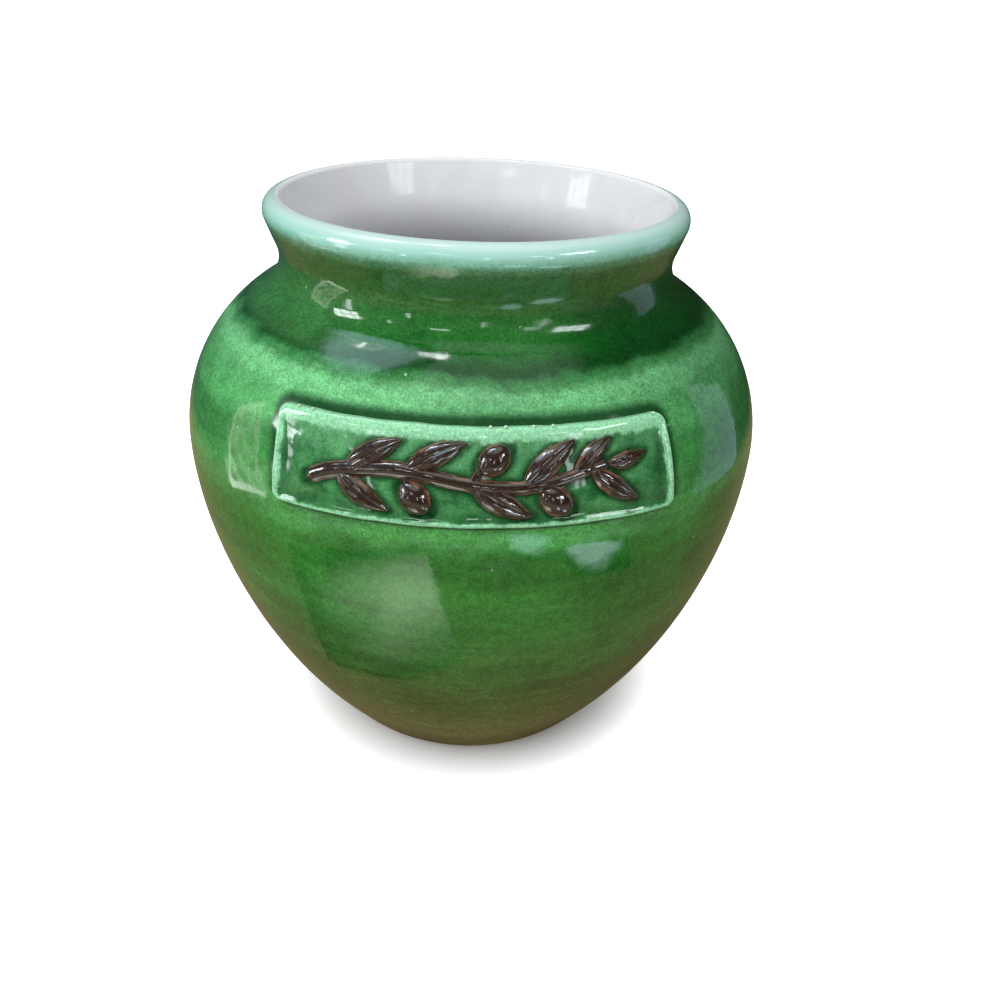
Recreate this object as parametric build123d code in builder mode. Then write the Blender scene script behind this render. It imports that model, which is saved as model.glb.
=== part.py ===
from build123d import *

import os
from math import acos, asin, cos, degrees, radians, sin, sqrt, tan

# A glazed olive jar, in millimetres: Z is up, the origin is the middle of the foot, and the
# label faces -Y. A thrown clay pot wears a green glaze outside and a cream one inside. A curved
# label slab sits on its shoulder, and an olive sprig in relief sits on the label.

quarter_turn = 90.0
half_turn = 180.0
overrun = 5.0  # how far every cutting shape runs past what it cuts

# The pot, measured on its finished glaze. Turns are in degrees.
foot_radius = 33.6  # where the line of the wall meets the ground
belly_radius = 62.0
belly_height = 71.7  # height of the greatest diameter
belly_arc = 83.0  # radius of the wall just under the greatest diameter
belly_turn = 10.4  # how far that arc goes down before the flatter lower wall takes over
shoulder_arc = 34.9
neck_radius = 40.45
neck_arc = 7.4  # radius of the hollow between the shoulder and the lip
flare_turn = 20.2  # lean of the straight flare that carries the lip
flare_length = 5.4
lip_round_share = 0.62  # outer rounding of the lip, as a share of the whole wall

# The clay and its two coats of glaze
clay_wall = 3.8
glaze_coat = 0.4
clay_floor = 5.0  # height of the clay floor above the ground
floor_corner = 9.0  # rounding between the floor and the wall inside
foot_ring = 5.5  # width of the bare ring that the jar stands on
foot_recess = 1.2
foot_round = 0.9
glaze_edge = 1.5  # height at which the green glaze stops, just clear of the ground

# The label, cut to a rounded rectangle as seen from the front
label_width = 66.4
label_height = 15.9
label_slope = 23.7  # lean of its middle back from upright, in degrees
label_proud = 1.7
label_corner = 2.4
label_border = 1.5
label_recess = 0.5
label_edge_round = 0.6
slip_film = 0.05  # the slip that joins the label to the clay of the pot

# The sprig: a stem, leaves and olives, half sunk in the label's ground
stem_radius = 1.0
stem_sink = 0.1
stalk_radius = 0.6
leaf_length = 11.6
leaf_width = 4.0
leaf_sink = 0.5
olive_length = 6.4
olive_width = 4.9
olive_sink = 0.4

# Places on the label, from its middle, as shares of half its width and half its height
stem_shares = [
    (-0.86, -0.34),
    (-0.77, -0.15),
    (-0.66, -0.02),
    (-0.52, 0.08),
    (-0.38, 0.12),
    (-0.22, 0.05),
    (-0.06, -0.05),
    (0.10, -0.12),
    (0.24, -0.14),
    (0.36, -0.10),
    (0.48, -0.01),
    (0.60, 0.09),
    (0.72, 0.16),
]
stem_bend_share = 0.45  # each bend's radius, as a share of the shorter run beside it
leaf_outline_shares = [(0.0, 0.05), (0.26, 0.72), (0.60, 0.62), (1.0, 0.05)]  # of length, width
leaf_spots = [
    # along, up, turn from the label's own level, size as a share of the whole leaf
    (-0.66, -0.02, 33.0, 1.00),
    (-0.70, -0.07, -29.0, 0.96),
    (-0.34, 0.11, 27.0, 1.00),
    (0.00, -0.07, -29.0, 1.00),
    (0.26, -0.13, 37.0, 1.04),
    (0.62, 0.10, -37.0, 0.92),
    (0.52, 0.03, 35.0, 0.84),
    (0.71, 0.15, 7.0, 0.70),
]
olive_spots = [
    # along, up, turn, and where its stalk leaves the stem
    (-0.28, -0.38, -44.0, (-0.38, 0.12)),
    (0.11, 0.40, 42.0, (0.00, -0.07)),
    (0.42, -0.44, -38.0, (0.30, -0.12)),
]


def profile_point(centre, radius, turn):
    """A point of the pot's profile, as its distance from the axis and its height."""
    return (centre[0] + radius * cos(radians(turn)), centre[1] + radius * sin(radians(turn)))


# Centres of the profile's arcs. Each arc runs on from the one below without a corner.
whole_wall = clay_wall + 2 * glaze_coat
belly_centre = (belly_radius - belly_arc, belly_height)
belly_joint = profile_point(belly_centre, belly_arc, -belly_turn)

# The lower wall leaves the joint in line with the belly and comes down to the foot.
joint_out = (cos(radians(-belly_turn)), sin(radians(-belly_turn)))
joint_to_foot = (foot_radius - belly_joint[0], -belly_joint[1])
foot_inward = -(joint_to_foot[0] * joint_out[0] + joint_to_foot[1] * joint_out[1])
lower_arc = (joint_to_foot[0] ** 2 + joint_to_foot[1] ** 2) / (2 * foot_inward)
lower_centre = profile_point(belly_joint, -lower_arc, -belly_turn)

# The shoulder's arc touches the neck's hollow arc from outside.
shoulder_centre = (belly_radius - shoulder_arc, belly_height)
neck_across = neck_radius + neck_arc - shoulder_centre[0]
neck_centre = (
    neck_radius + neck_arc,
    belly_height + sqrt((shoulder_arc + neck_arc) ** 2 - neck_across**2),
)
shoulder_turn = degrees(acos(neck_across / (shoulder_arc + neck_arc)))

# The straight flare leaves the neck and ends in the lip. The lip's two roundings share a crown.
lip_round = lip_round_share * whole_wall
flare_foot = profile_point(neck_centre, neck_arc, half_turn - flare_turn)
flare_top = profile_point(flare_foot, flare_length, quarter_turn - flare_turn)
lip_centre = profile_point(flare_top, lip_round, half_turn - flare_turn)
lean = sin(radians(flare_turn))
inner_lip_round = (whole_wall - lip_round * (1 + lean)) / (1 - lean)
jar_height = lip_centre[1] + lip_round
inner_lip_centre = (lip_centre[0], jar_height - inner_lip_round)
lip_radius = lip_centre[0] + lip_round


def draw_wall(depth, height, rounding):
    """The wall's line at a depth under the outer glaze, from the rounding at a height to the neck."""
    across_arc = lower_arc - depth - rounding
    drop = lower_centre[1] - height - rounding
    start = -degrees(asin(drop / across_arc))
    corner = profile_point(lower_centre, across_arc, start)
    if rounding:
        CenterArc(corner, rounding, -quarter_turn, quarter_turn + start)
    CenterArc(lower_centre, lower_arc - depth, start, -belly_turn - start)
    CenterArc(belly_centre, belly_arc - depth, -belly_turn, belly_turn)
    CenterArc(shoulder_centre, shoulder_arc - depth, 0, shoulder_turn)
    neck_turn = half_turn - flare_turn
    CenterArc(neck_centre, neck_arc + depth, neck_turn, shoulder_turn + flare_turn)
    return (corner[0], height)


def draw_outside(depth, height, rounding):
    """The outer line of the clay or of the glaze, up to the crown of the lip."""
    foot = draw_wall(depth, height, rounding)
    Line(
        profile_point(neck_centre, neck_arc + depth, half_turn - flare_turn),
        profile_point(lip_centre, lip_round - depth, -flare_turn),
    )
    CenterArc(lip_centre, lip_round - depth, -flare_turn, quarter_turn + flare_turn)
    return foot


def draw_inside(depth, floor, rounding):
    """The inner line of the clay or of the liner, from the axis over the floor to the crown."""
    foot = draw_wall(depth, floor, rounding)
    lip_rounding = inner_lip_round - (whole_wall - depth)
    lip_turn = half_turn - flare_turn
    Line(
        profile_point(neck_centre, neck_arc + depth, lip_turn),
        profile_point(inner_lip_centre, lip_rounding, lip_turn),
    )
    CenterArc(inner_lip_centre, lip_rounding, quarter_turn, quarter_turn - flare_turn)
    Line((0, floor), foot)


# The cream liner inside, over the floor and up to the crown
liner_depth = whole_wall - glaze_coat
crown = ((lip_centre[0], jar_height), (lip_centre[0], jar_height - glaze_coat))
with BuildPart() as inner_glaze:
    with BuildSketch(Plane.XZ):
        with BuildLine():
            draw_inside(liner_depth, clay_floor, floor_corner + glaze_coat)
            draw_inside(whole_wall, clay_floor + glaze_coat, floor_corner)
            Line((0, clay_floor), (0, clay_floor + glaze_coat))
            Line(*crown)
        make_face()
    revolve(axis=Axis.Z)
inner_glaze.part.label = "inner_glaze"

# The green glaze outside, from just above the ground to the crown of the lip
with BuildPart() as outer_coat:
    with BuildSketch(Plane.XZ):
        with BuildLine():
            coat_foot = draw_outside(0, glaze_edge, 0)
            clay_side = draw_outside(glaze_coat, glaze_edge, 0)
            Line(coat_foot, clay_side)
            Line(*crown)
        make_face()
    revolve(axis=Axis.Z)

# The clay pot between the two coats, with a bare ring to stand on
with BuildPart() as jar_body:
    with BuildSketch(Plane.XZ):
        with BuildLine():
            ring_outside = draw_outside(glaze_coat, 0, foot_round)
            draw_inside(liner_depth, clay_floor, floor_corner + glaze_coat)
            ring_inside = ring_outside[0] - foot_ring
            Polyline(
                ring_outside,
                (ring_inside, 0),
                (ring_inside - foot_recess, foot_recess),
                (0, foot_recess),
                (0, clay_floor),
            )
        make_face()
    revolve(axis=Axis.Z)
jar_body.part.label = "jar_body"

# The label's own radii, about the centre of the shoulder's arc
label_face = shoulder_arc + label_proud
label_ground = label_face - label_recess
label_middle = shoulder_centre[1] + label_face * sin(radians(label_slope))
label_reach = shoulder_centre[0] + label_face * cos(radians(label_slope))


def curved_slab(inner_arc, outer_arc, width, height, corner):
    """A slab bent round the shoulder, between two arcs, cut to a rounded rectangle from the front."""
    with BuildPart() as slab:
        with BuildSketch(Plane.XZ):
            with BuildLine():
                for arc in (inner_arc, outer_arc):
                    CenterArc(shoulder_centre, arc, 0, shoulder_turn)
                for turn in (0, shoulder_turn):
                    Line(
                        profile_point(shoulder_centre, inner_arc, turn),
                        profile_point(shoulder_centre, outer_arc, turn),
                    )
            make_face()
        revolve(axis=Axis.Z)
        with BuildSketch(Plane.XZ):
            with Locations((0, label_middle)):
                RectangleRounded(width, height, corner)
        extrude(amount=belly_radius + outer_arc, mode=Mode.INTERSECT)
    return slab.part


label_size = (label_width, label_height, label_corner)
ground_size = (
    label_width - 2 * label_border,
    label_height - 2 * label_border,
    label_corner - label_border,
)
label_clay = curved_slab(shoulder_arc - glaze_coat + slip_film, label_face, *label_size)
label_dish = curved_slab(label_ground, label_face + overrun, *ground_size)
label_opening = curved_slab(shoulder_arc - overrun, shoulder_arc + overrun, *label_size)
below_ground = curved_slab(label_ground - overrun, label_ground, *label_size)

with BuildPart() as label_plaque:
    add(label_clay)
    face = label_plaque.faces().sort_by(SortBy.AREA)[-1]
    fillet(face.edges(), label_edge_round)
    add(label_dish, mode=Mode.SUBTRACT)
label_plaque.part.label = "label_plaque"

# The glaze is open where the label is joined to the clay.
with BuildPart() as outer_glaze:
    add(outer_coat.part)
    add(label_opening, mode=Mode.SUBTRACT)
outer_glaze.part.label = "outer_glaze"


def on_label(along_share, up_share, turn=0.0, sink=0.0):
    """The plane that lies on the label's ground at a place, turned in itself and sunk."""
    bearing = along_share * label_width / 2 / label_reach
    slope = radians(label_slope) + up_share * label_height / 2 / label_ground / cos(
        radians(label_slope)
    )
    out = Vector(cos(slope) * sin(bearing), -cos(slope) * cos(bearing), sin(slope))
    level = Vector(cos(bearing), sin(bearing), 0)
    middle = Vector(sin(bearing), -cos(bearing), 0) * shoulder_centre[0]
    middle += Vector(0, 0, shoulder_centre[1])
    heading = level * cos(radians(turn)) + out.cross(level) * sin(radians(turn))
    return Plane(middle + out * (label_ground - sink), x_dir=heading, z_dir=out)


def upright(place):
    """The plane that stands on a place and holds its length."""
    return Plane(place.origin, x_dir=place.x_dir, z_dir=-place.y_dir)


def bend_radius(before, after):
    """The radius of the stem's bend between two straight runs."""
    half_bend = radians(before.get_angle(after)) / 2
    return stem_bend_share * min(before.length, after.length) / tan(half_bend)


# The stem: straight runs joined by wide bends, with a thin stalk to each olive
stem_points = [on_label(*spot, sink=stem_sink).origin for spot in stem_shares]
stem_runs = [end - start for start, end in zip(stem_points, stem_points[1:])]
stem_bends = [bend_radius(*runs) for runs in zip(stem_runs, stem_runs[1:])]
with BuildPart() as sprig_stem:
    with BuildLine() as stem_line:
        FilletPolyline(*stem_points, radius=stem_bends)
    with BuildSketch(Plane(stem_line.line @ 0, z_dir=stem_line.line % 0)):
        Circle(stem_radius)
    sweep()
    for along, up, _, leaves_stem in olive_spots:
        stalk_foot = on_label(*leaves_stem, sink=stem_sink).origin
        stalk_end = on_label(along, up, sink=stem_sink).origin
        with BuildSketch(Plane(stalk_foot, z_dir=stalk_end - stalk_foot)):
            Circle(stalk_radius)
        extrude(amount=(stalk_end - stalk_foot).length)
    add(below_ground, mode=Mode.SUBTRACT)
sprig_stem.part.label = "sprig_stem"

# The leaves, each a spindle that is widest nearer its foot and gives way to the stem. A leaf's
# section is drawn on its buried side, so that the seam of its surface goes with what is cut away.
leaves = []
for number, (along, up, turn, size_share) in enumerate(leaf_spots, start=1):
    place = on_label(along, up, turn, leaf_sink)
    length = leaf_length * size_share
    width = leaf_width * size_share
    outline = [(length * forth, -width * out) for forth, out in leaf_outline_shares]
    with BuildPart() as leaf:
        with BuildSketch(upright(place)):
            with BuildLine():
                Bezier(*outline)
                Polyline(outline[0], (0, 0), (length, 0), outline[-1])
            make_face()
        revolve(axis=Axis(place.origin, place.x_dir))
        add(below_ground, mode=Mode.SUBTRACT)
        add(sprig_stem.part, mode=Mode.SUBTRACT)
    leaf.part.label = f"leaf_{number}"
    leaves.append(leaf.part)

# The olives, plump ovals that hang from the ends of their stalks
olives = []
for number, (along, up, turn, _) in enumerate(olive_spots, start=1):
    place = on_label(along, up, turn, olive_sink)
    with BuildPart() as olive:
        with BuildSketch(upright(place)):
            with BuildLine():
                EllipticalCenterArc(
                    (0, 0),
                    olive_length / 2,
                    olive_width / 2,
                    start_angle=half_turn,
                    arc_size=half_turn,
                )
                Line((-olive_length / 2, 0), (olive_length / 2, 0))
            make_face()
        revolve(axis=Axis(place.origin, place.x_dir))
        add(below_ground, mode=Mode.SUBTRACT)
        add(sprig_stem.part, mode=Mode.SUBTRACT)
    olive.part.label = f"olive_{number}"
    olives.append(olive.part)

os.makedirs("parts", exist_ok=True)
pieces = [jar_body.part, outer_glaze.part, inner_glaze.part, label_plaque.part, sprig_stem.part]
for piece in pieces + leaves + olives:
    export_step(piece, f"parts/{piece.label}.step")
print("height", round(jar_height, 2), "belly", 2 * belly_radius, "lip", round(2 * lip_radius, 2))
print("lower wall arc", round(lower_arc, 1), "inner lip round", round(inner_lip_round, 2))
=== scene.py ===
from math import acos, asin, atan2, cos, degrees, pi, prod, radians, sin, sqrt

import bmesh
import bpy
import numpy as np
from mathutils import Matrix, Vector, noise


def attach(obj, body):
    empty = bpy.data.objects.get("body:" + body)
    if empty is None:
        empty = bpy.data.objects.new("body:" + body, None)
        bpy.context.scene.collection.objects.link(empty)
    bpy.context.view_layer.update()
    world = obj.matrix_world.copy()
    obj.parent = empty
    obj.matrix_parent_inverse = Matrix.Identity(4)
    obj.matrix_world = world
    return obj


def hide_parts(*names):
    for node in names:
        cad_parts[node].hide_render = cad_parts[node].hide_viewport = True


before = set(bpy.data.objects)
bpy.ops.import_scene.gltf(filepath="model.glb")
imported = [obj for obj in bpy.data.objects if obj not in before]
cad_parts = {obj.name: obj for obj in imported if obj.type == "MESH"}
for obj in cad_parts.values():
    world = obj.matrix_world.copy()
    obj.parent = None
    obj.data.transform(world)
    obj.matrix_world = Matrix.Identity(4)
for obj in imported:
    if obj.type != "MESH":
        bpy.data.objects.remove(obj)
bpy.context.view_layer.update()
scene = bpy.context.scene
mm = 0.001
print("frame loaded with", len(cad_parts), "solids")


# Small helpers for node trees, which work in the tree of the sockets they are given

def treeOf(*values):
    return next(v for v in values if isinstance(v, bpy.types.NodeSocket)).id_data


def put(value, socket):
    if isinstance(value, bpy.types.NodeSocket):
        socket.id_data.links.new(value, socket)
    else:
        socket.default_value = value


def pick(sockets, key):
    if isinstance(key, int):
        return sockets[key]
    return next(s for s in sockets if s.name == key and s.enabled)


def place(tree, kind, inputs=None, **settings):
    made = tree.nodes.new(kind)
    for key, value in settings.items():
        setattr(made, key, value)
    for key, value in (inputs or {}).items():
        put(value, pick(made.inputs, key))
    return made


def calc(operation, *values):
    return place(treeOf(*values), "ShaderNodeMath", dict(enumerate(values)), operation=operation).outputs[0]


def addSocketSums():  # lets sockets stand in sums and products, each of which becomes a math node
    signs = {"add": "ADD", "sub": "SUBTRACT", "mul": "MULTIPLY", "truediv": "DIVIDE", "pow": "POWER"}
    for sign, operation in signs.items():
        setattr(bpy.types.NodeSocket, f"__{sign}__", lambda a, b, o=operation: calc(o, a, b))
        setattr(bpy.types.NodeSocket, f"__r{sign}__", lambda a, b, o=operation: calc(o, b, a))


addSocketSums()


def vector(operation, *values):
    made = place(treeOf(*values), "ShaderNodeVectorMath", dict(enumerate(values)), operation=operation)
    return made.outputs["Value" if operation in ("LENGTH", "DOT_PRODUCT") else "Vector"]


def scaled(value, amount):
    made = place(treeOf(value, amount), "ShaderNodeVectorMath", operation="SCALE")
    put(value, made.inputs[0])
    put(amount, made.inputs["Scale"])
    return made.outputs[0]


def xyz(x=0.0, y=0.0, z=0.0):
    return place(treeOf(x, y, z), "ShaderNodeCombineXYZ", {0: x, 1: y, 2: z}).outputs[0]


def split(value):  # a vector's x, y and z
    return place(value.id_data, "ShaderNodeSeparateXYZ", {0: value}).outputs


def ramp(value, low, high, outLow=0.0, outHigh=1.0):
    made = place(value.id_data, "ShaderNodeMapRange", {0: value, 1: low, 2: high, 3: outLow, 4: outHigh})
    made.interpolation_type = "SMOOTHSTEP"
    return made.outputs[0]


def zone(value, low, high, outLow=0.0, outHigh=1.0):  # a ramp between two places in millimetres
    return ramp(value, low * mm, high * mm, outLow, outHigh)


def clouds(spot, scale, detail, roughness=0.5, distortion=0.0, seed=None):
    inputs = {"Vector": spot, "Scale": scale, "Detail": detail}
    inputs.update({"Roughness": roughness, "Distortion": distortion})
    if seed is not None:
        inputs["W"] = seed
    dimensions = "3D" if seed is None else "4D"
    return place(spot.id_data, "ShaderNodeTexNoise", inputs, noise_dimensions=dimensions).outputs[0]


def newTree(name, kind, inputs, outputs):
    tree = bpy.data.node_groups.new(name, kind)
    for label, socketKind, value in inputs:
        made = tree.interface.new_socket(name=label, in_out="INPUT", socket_type="NodeSocket" + socketKind)
        if value is not None:
            made.default_value = value
    for label, socketKind in outputs:
        tree.interface.new_socket(name=label, in_out="OUTPUT", socket_type="NodeSocket" + socketKind)
    return tree, tree.nodes.new("NodeGroupInput").outputs, tree.nodes.new("NodeGroupOutput").inputs


def useGroup(group, inputs):
    tree = treeOf(*inputs.values())
    made = place(tree, "ShaderNodeGroup" if tree.type == "SHADER" else "GeometryNodeGroup", node_tree=group)
    for key, value in inputs.items():
        put(value, made.inputs[key])
    return made.outputs


def endTree(geometry, material, out):  # the last two nodes of every tree that makes a piece
    real = place(geometry.id_data, "GeometryNodeRealizeInstances", {"Geometry": geometry}).outputs[0]
    done = place(geometry.id_data, "GeometryNodeSetMaterial", {"Geometry": real, "Material": material})
    put(done.outputs[0], out)


def addObject(name, data):
    obj = bpy.data.objects.new(name, data)
    scene.collection.objects.link(obj)
    return obj


def applyTree(name, mesh, tree, values):
    obj = addObject(name, mesh)
    modifier = obj.modifiers.new(tree.name, "NODES")
    modifier.node_group = tree
    identifiers = {i.name: i.identifier for i in tree.interface.items_tree if i.in_out == "INPUT"}
    for key, value in values.items():
        modifier[identifiers[key]] = value
    depsgraph = bpy.context.evaluated_depsgraph_get()
    plain = bpy.data.meshes.new_from_object(obj.evaluated_get(depsgraph), depsgraph=depsgraph)
    plain.name = name
    obj.modifiers.clear()
    obj.data = plain
    return faceOutwards(obj)


closing = {"mergeGap": 0.0005, "sliver": 0.0002, "crease": 50.0}  # millimetres and degrees


def faceOutwards(obj):
    work = bmesh.new()
    work.from_mesh(obj.data)
    bmesh.ops.remove_doubles(work, verts=work.verts, dist=closing["mergeGap"] * mm)
    bmesh.ops.dissolve_degenerate(work, edges=work.edges, dist=closing["sliver"] * mm)
    bmesh.ops.recalc_face_normals(work, faces=work.faces)
    if work.calc_volume(signed=True) < 0:
        bmesh.ops.reverse_faces(work, faces=work.faces)
    open_ = sum(1 for e in work.edges if len(e.link_faces) != 2)
    for face in work.faces:
        face.smooth = True
    for edge in work.edges:
        edge.smooth = len(edge.link_faces) != 2 or edge.calc_face_angle() < radians(closing["crease"])
    work.to_mesh(obj.data)
    work.free()
    print(obj.name, len(obj.data.polygons), "faces", open_, "open edges")
    return obj


def tone(red, green, blue):  # a colour as it is read off a screen, 0 to 255
    shares = [c / 255 for c in (red, green, blue)]
    return tuple(((c + 0.055) / 1.055) ** 2.4 if c > 0.0404 else c / 12.92 for c in shares) + (1.0,)


def storeNumbers(mesh, name, values):
    mesh.attributes.new(name, "FLOAT", "POINT").data.foreach_set("value", np.array(values, dtype=float))


# Camera at the photograph's place

viewpoint = {
    "place": (0.0, -188.7, 157.3),
    "pitch": 30.07,
    "yaw": 2.07,
    "roll": 2.24,
    "lens": 32.33,
    "sensor": 36.0,
    "near": 0.01,  # metres
}


def addCamera():
    pitch, yaw, roll = (radians(viewpoint[k]) for k in ("pitch", "yaw", "roll"))
    forward = Vector((sin(yaw) * cos(pitch), cos(yaw) * cos(pitch), -sin(pitch)))
    level = Vector((cos(yaw), -sin(yaw), 0))
    upward = level.cross(forward)
    side = level * cos(roll) + upward * sin(roll)
    above = upward * cos(roll) - level * sin(roll)
    camera = bpy.data.cameras.new("camera")
    camera.lens = viewpoint["lens"]
    camera.sensor_width = viewpoint["sensor"]
    camera.clip_start = viewpoint["near"]
    obj = addObject("camera", camera)
    turn = Matrix((side, above, -forward)).transposed().to_4x4()
    obj.matrix_world = Matrix.Translation(Vector(viewpoint["place"]) * mm) @ turn
    scene.camera = obj


addCamera()

# The pot's turned shape, in millimetres and degrees

pot = {
    "footRadius": 33.6,
    "bellyRadius": 62.0,
    "bellyHeight": 71.7,
    "bellyArc": 83.0,
    "bellyTurn": 10.4,
    "shoulderArc": 34.9,
    "neckRadius": 40.45,
    "neckArc": 7.4,
    "flareTurn": 20.2,
    "flareLength": 5.4,
    "wall": 4.6,  # clay and both coats of glaze
    "coat": 0.4,
    "lipShare": 0.62,  # outer rounding of the lip, as a share of the wall
    "floor": 5.4,
    "floorCorner": 9.0,
    "floorRings": (0, 0.02, 0.1, 0.25, 0.4, 0.55, 0.7, 0.82, 0.92),  # shares of the floor's radius
    "footRing": 5.5,
    "footRound": 0.9,
    "footRecess": 1.2,
    "glazeEdge": 1.75,  # height of the bead that ends the glaze
    "beadSwell": 0.22,
    "beadHeight": 2.6,
    "beadSpread": 1.1,
    "turningMarks": 0.07,  # height of the tool's marks in the recess
    "turningSpacing": 2.4,
    "recessEdge": [(-0.5, 0), (-0.1, -0.03), (0.2, -0.22)],  # the rounded corners inside the foot ring
    "ringEdge": [(-0.25, 0.22), (0.02, 0.03), (0.4, 0), (2.6, 0)],
    "stepLength": 1.3,  # along the arcs of the profiles
    "turnSteps": 264,
    "ripple": 0.06,  # height of the throwing lines
    "rippleSpacing": 5.0,
    "wobble": 0.16,
    "wobbleScale": 22.0,
    "rippleRound": 0.1,  # how much a throwing line changes on its way round
    "stillFoot": (2, 12),  # heights between which the lines begin
    "stillCentre": (8, 30),  # radii between which they begin
    "seed": 4,
}


def onArc(centre, radius, turn):
    return (centre[0] + radius * cos(radians(turn)), centre[1] + radius * sin(radians(turn)))


def sweepArc(centre, radius, start, end, least=10):
    count = max(least, int(radians(abs(end - start)) * abs(radius) / pot["stepLength"]))
    return [onArc(centre, radius, turn) for turn in np.linspace(start, end, count + 1)]


bellyCentre = (pot["bellyRadius"] - pot["bellyArc"], pot["bellyHeight"])
bellyJoint = onArc(bellyCentre, pot["bellyArc"], -pot["bellyTurn"])
jointOut = (cos(radians(pot["bellyTurn"])), -sin(radians(pot["bellyTurn"])))
toFoot = (pot["footRadius"] - bellyJoint[0], -bellyJoint[1])
footInward = -(toFoot[0] * jointOut[0] + toFoot[1] * jointOut[1])
lowerArc = (toFoot[0] ** 2 + toFoot[1] ** 2) / (2 * footInward)
lowerCentre = onArc(bellyJoint, -lowerArc, -pot["bellyTurn"])
shoulderCentre = (pot["bellyRadius"] - pot["shoulderArc"], pot["bellyHeight"])
arcSum = pot["shoulderArc"] + pot["neckArc"]
neckAcross = pot["neckRadius"] + pot["neckArc"] - shoulderCentre[0]
neckCentre = (pot["neckRadius"] + pot["neckArc"], pot["bellyHeight"] + sqrt(arcSum**2 - neckAcross**2))
shoulderTurn = degrees(acos(neckAcross / arcSum))
lipRound = pot["lipShare"] * pot["wall"]
flareFoot = onArc(neckCentre, pot["neckArc"], 180 - pot["flareTurn"])
flareTop = onArc(flareFoot, pot["flareLength"], 90 - pot["flareTurn"])
lipCentre = onArc(flareTop, lipRound, 180 - pot["flareTurn"])
lean = sin(radians(pot["flareTurn"]))
innerLipRound = (pot["wall"] - lipRound * (1 + lean)) / (1 - lean)
jarHeight = lipCentre[1] + lipRound
innerLipCentre = (lipCentre[0], jarHeight - innerLipRound)


def wallLine(depth, height, rounding):
    across = lowerArc - depth - rounding
    start = -degrees(asin((lowerCentre[1] - height - rounding) / across))
    corner = onArc(lowerCentre, across, start)
    line = sweepArc(corner, rounding, -90, start, 8) if rounding else []
    line += sweepArc(lowerCentre, lowerArc - depth, start, -pot["bellyTurn"])
    line += sweepArc(bellyCentre, pot["bellyArc"] - depth, -pot["bellyTurn"], 0)[1:]
    line += sweepArc(shoulderCentre, pot["shoulderArc"] - depth, 0, shoulderTurn)[1:]
    end = 180 - pot["flareTurn"]
    return line + sweepArc(neckCentre, pot["neckArc"] + depth, 180 + shoulderTurn, end, 14)[1:]


def outerLine(depth, height, rounding):
    line = wallLine(depth, height, rounding)
    top = sweepArc(lipCentre, lipRound - depth, -pot["flareTurn"], 90, 14)
    return line + [tuple((np.array(line[-1]) + np.array(top[0])) / 2)] + top


def innerLine(depth, height, rounding):
    line = wallLine(depth, height, rounding)
    top = sweepArc(innerLipCentre, innerLipRound - (pot["wall"] - depth), 180 - pot["flareTurn"], 90, 8)
    across = [(line[0][0] * share, height) for share in pot["floorRings"]]
    return across + line + [tuple((np.array(line[-1]) + np.array(top[0])) / 2)] + top


def glazeProfile():
    outside = outerLine(0, pot["glazeEdge"], 0)
    swell, height, spread = pot["beadSwell"], pot["beadHeight"], pot["beadSpread"]
    outside = [(r + swell * np.exp(-(((z - height) / spread) ** 2)), z) for r, z in outside]
    inside = outerLine(pot["coat"], pot["glazeEdge"], 0)
    middle = ((outside[0][0] + inside[0][0]) / 2, pot["glazeEdge"])
    bead = sweepArc(middle, (outside[0][0] - inside[0][0]) / 2, 180, 360, 8)[1:-1]
    return bead + outside + inside[::-1]


def linerBack():  # where the liner's glaze meets the clay
    coat = pot["coat"]
    return innerLine(pot["wall"] - coat, pot["floor"] - coat, pot["floorCorner"] + coat)


def linerProfile():
    return innerLine(pot["wall"], pot["floor"], pot["floorCorner"]) + linerBack()[::-1]


def clayProfile():
    outside = outerLine(pot["coat"], 0, pot["footRound"])
    ring, recess = outside[0][0] - pot["footRing"], pot["footRecess"]
    inner = ring - recess
    marks, spacing = pot["turningMarks"], pot["turningSpacing"]
    across = np.arange(0, inner - spacing / 2, spacing / 6)
    turned = [(r, recess + marks * cos(2 * pi * r / spacing)) for r in across]
    edge = [(inner + r, recess + z) for r, z in pot["recessEdge"]]
    edge += [(ring + r, z) for r, z in pot["ringEdge"]]
    return turned + edge + outside + linerBack()[::-1]


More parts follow.
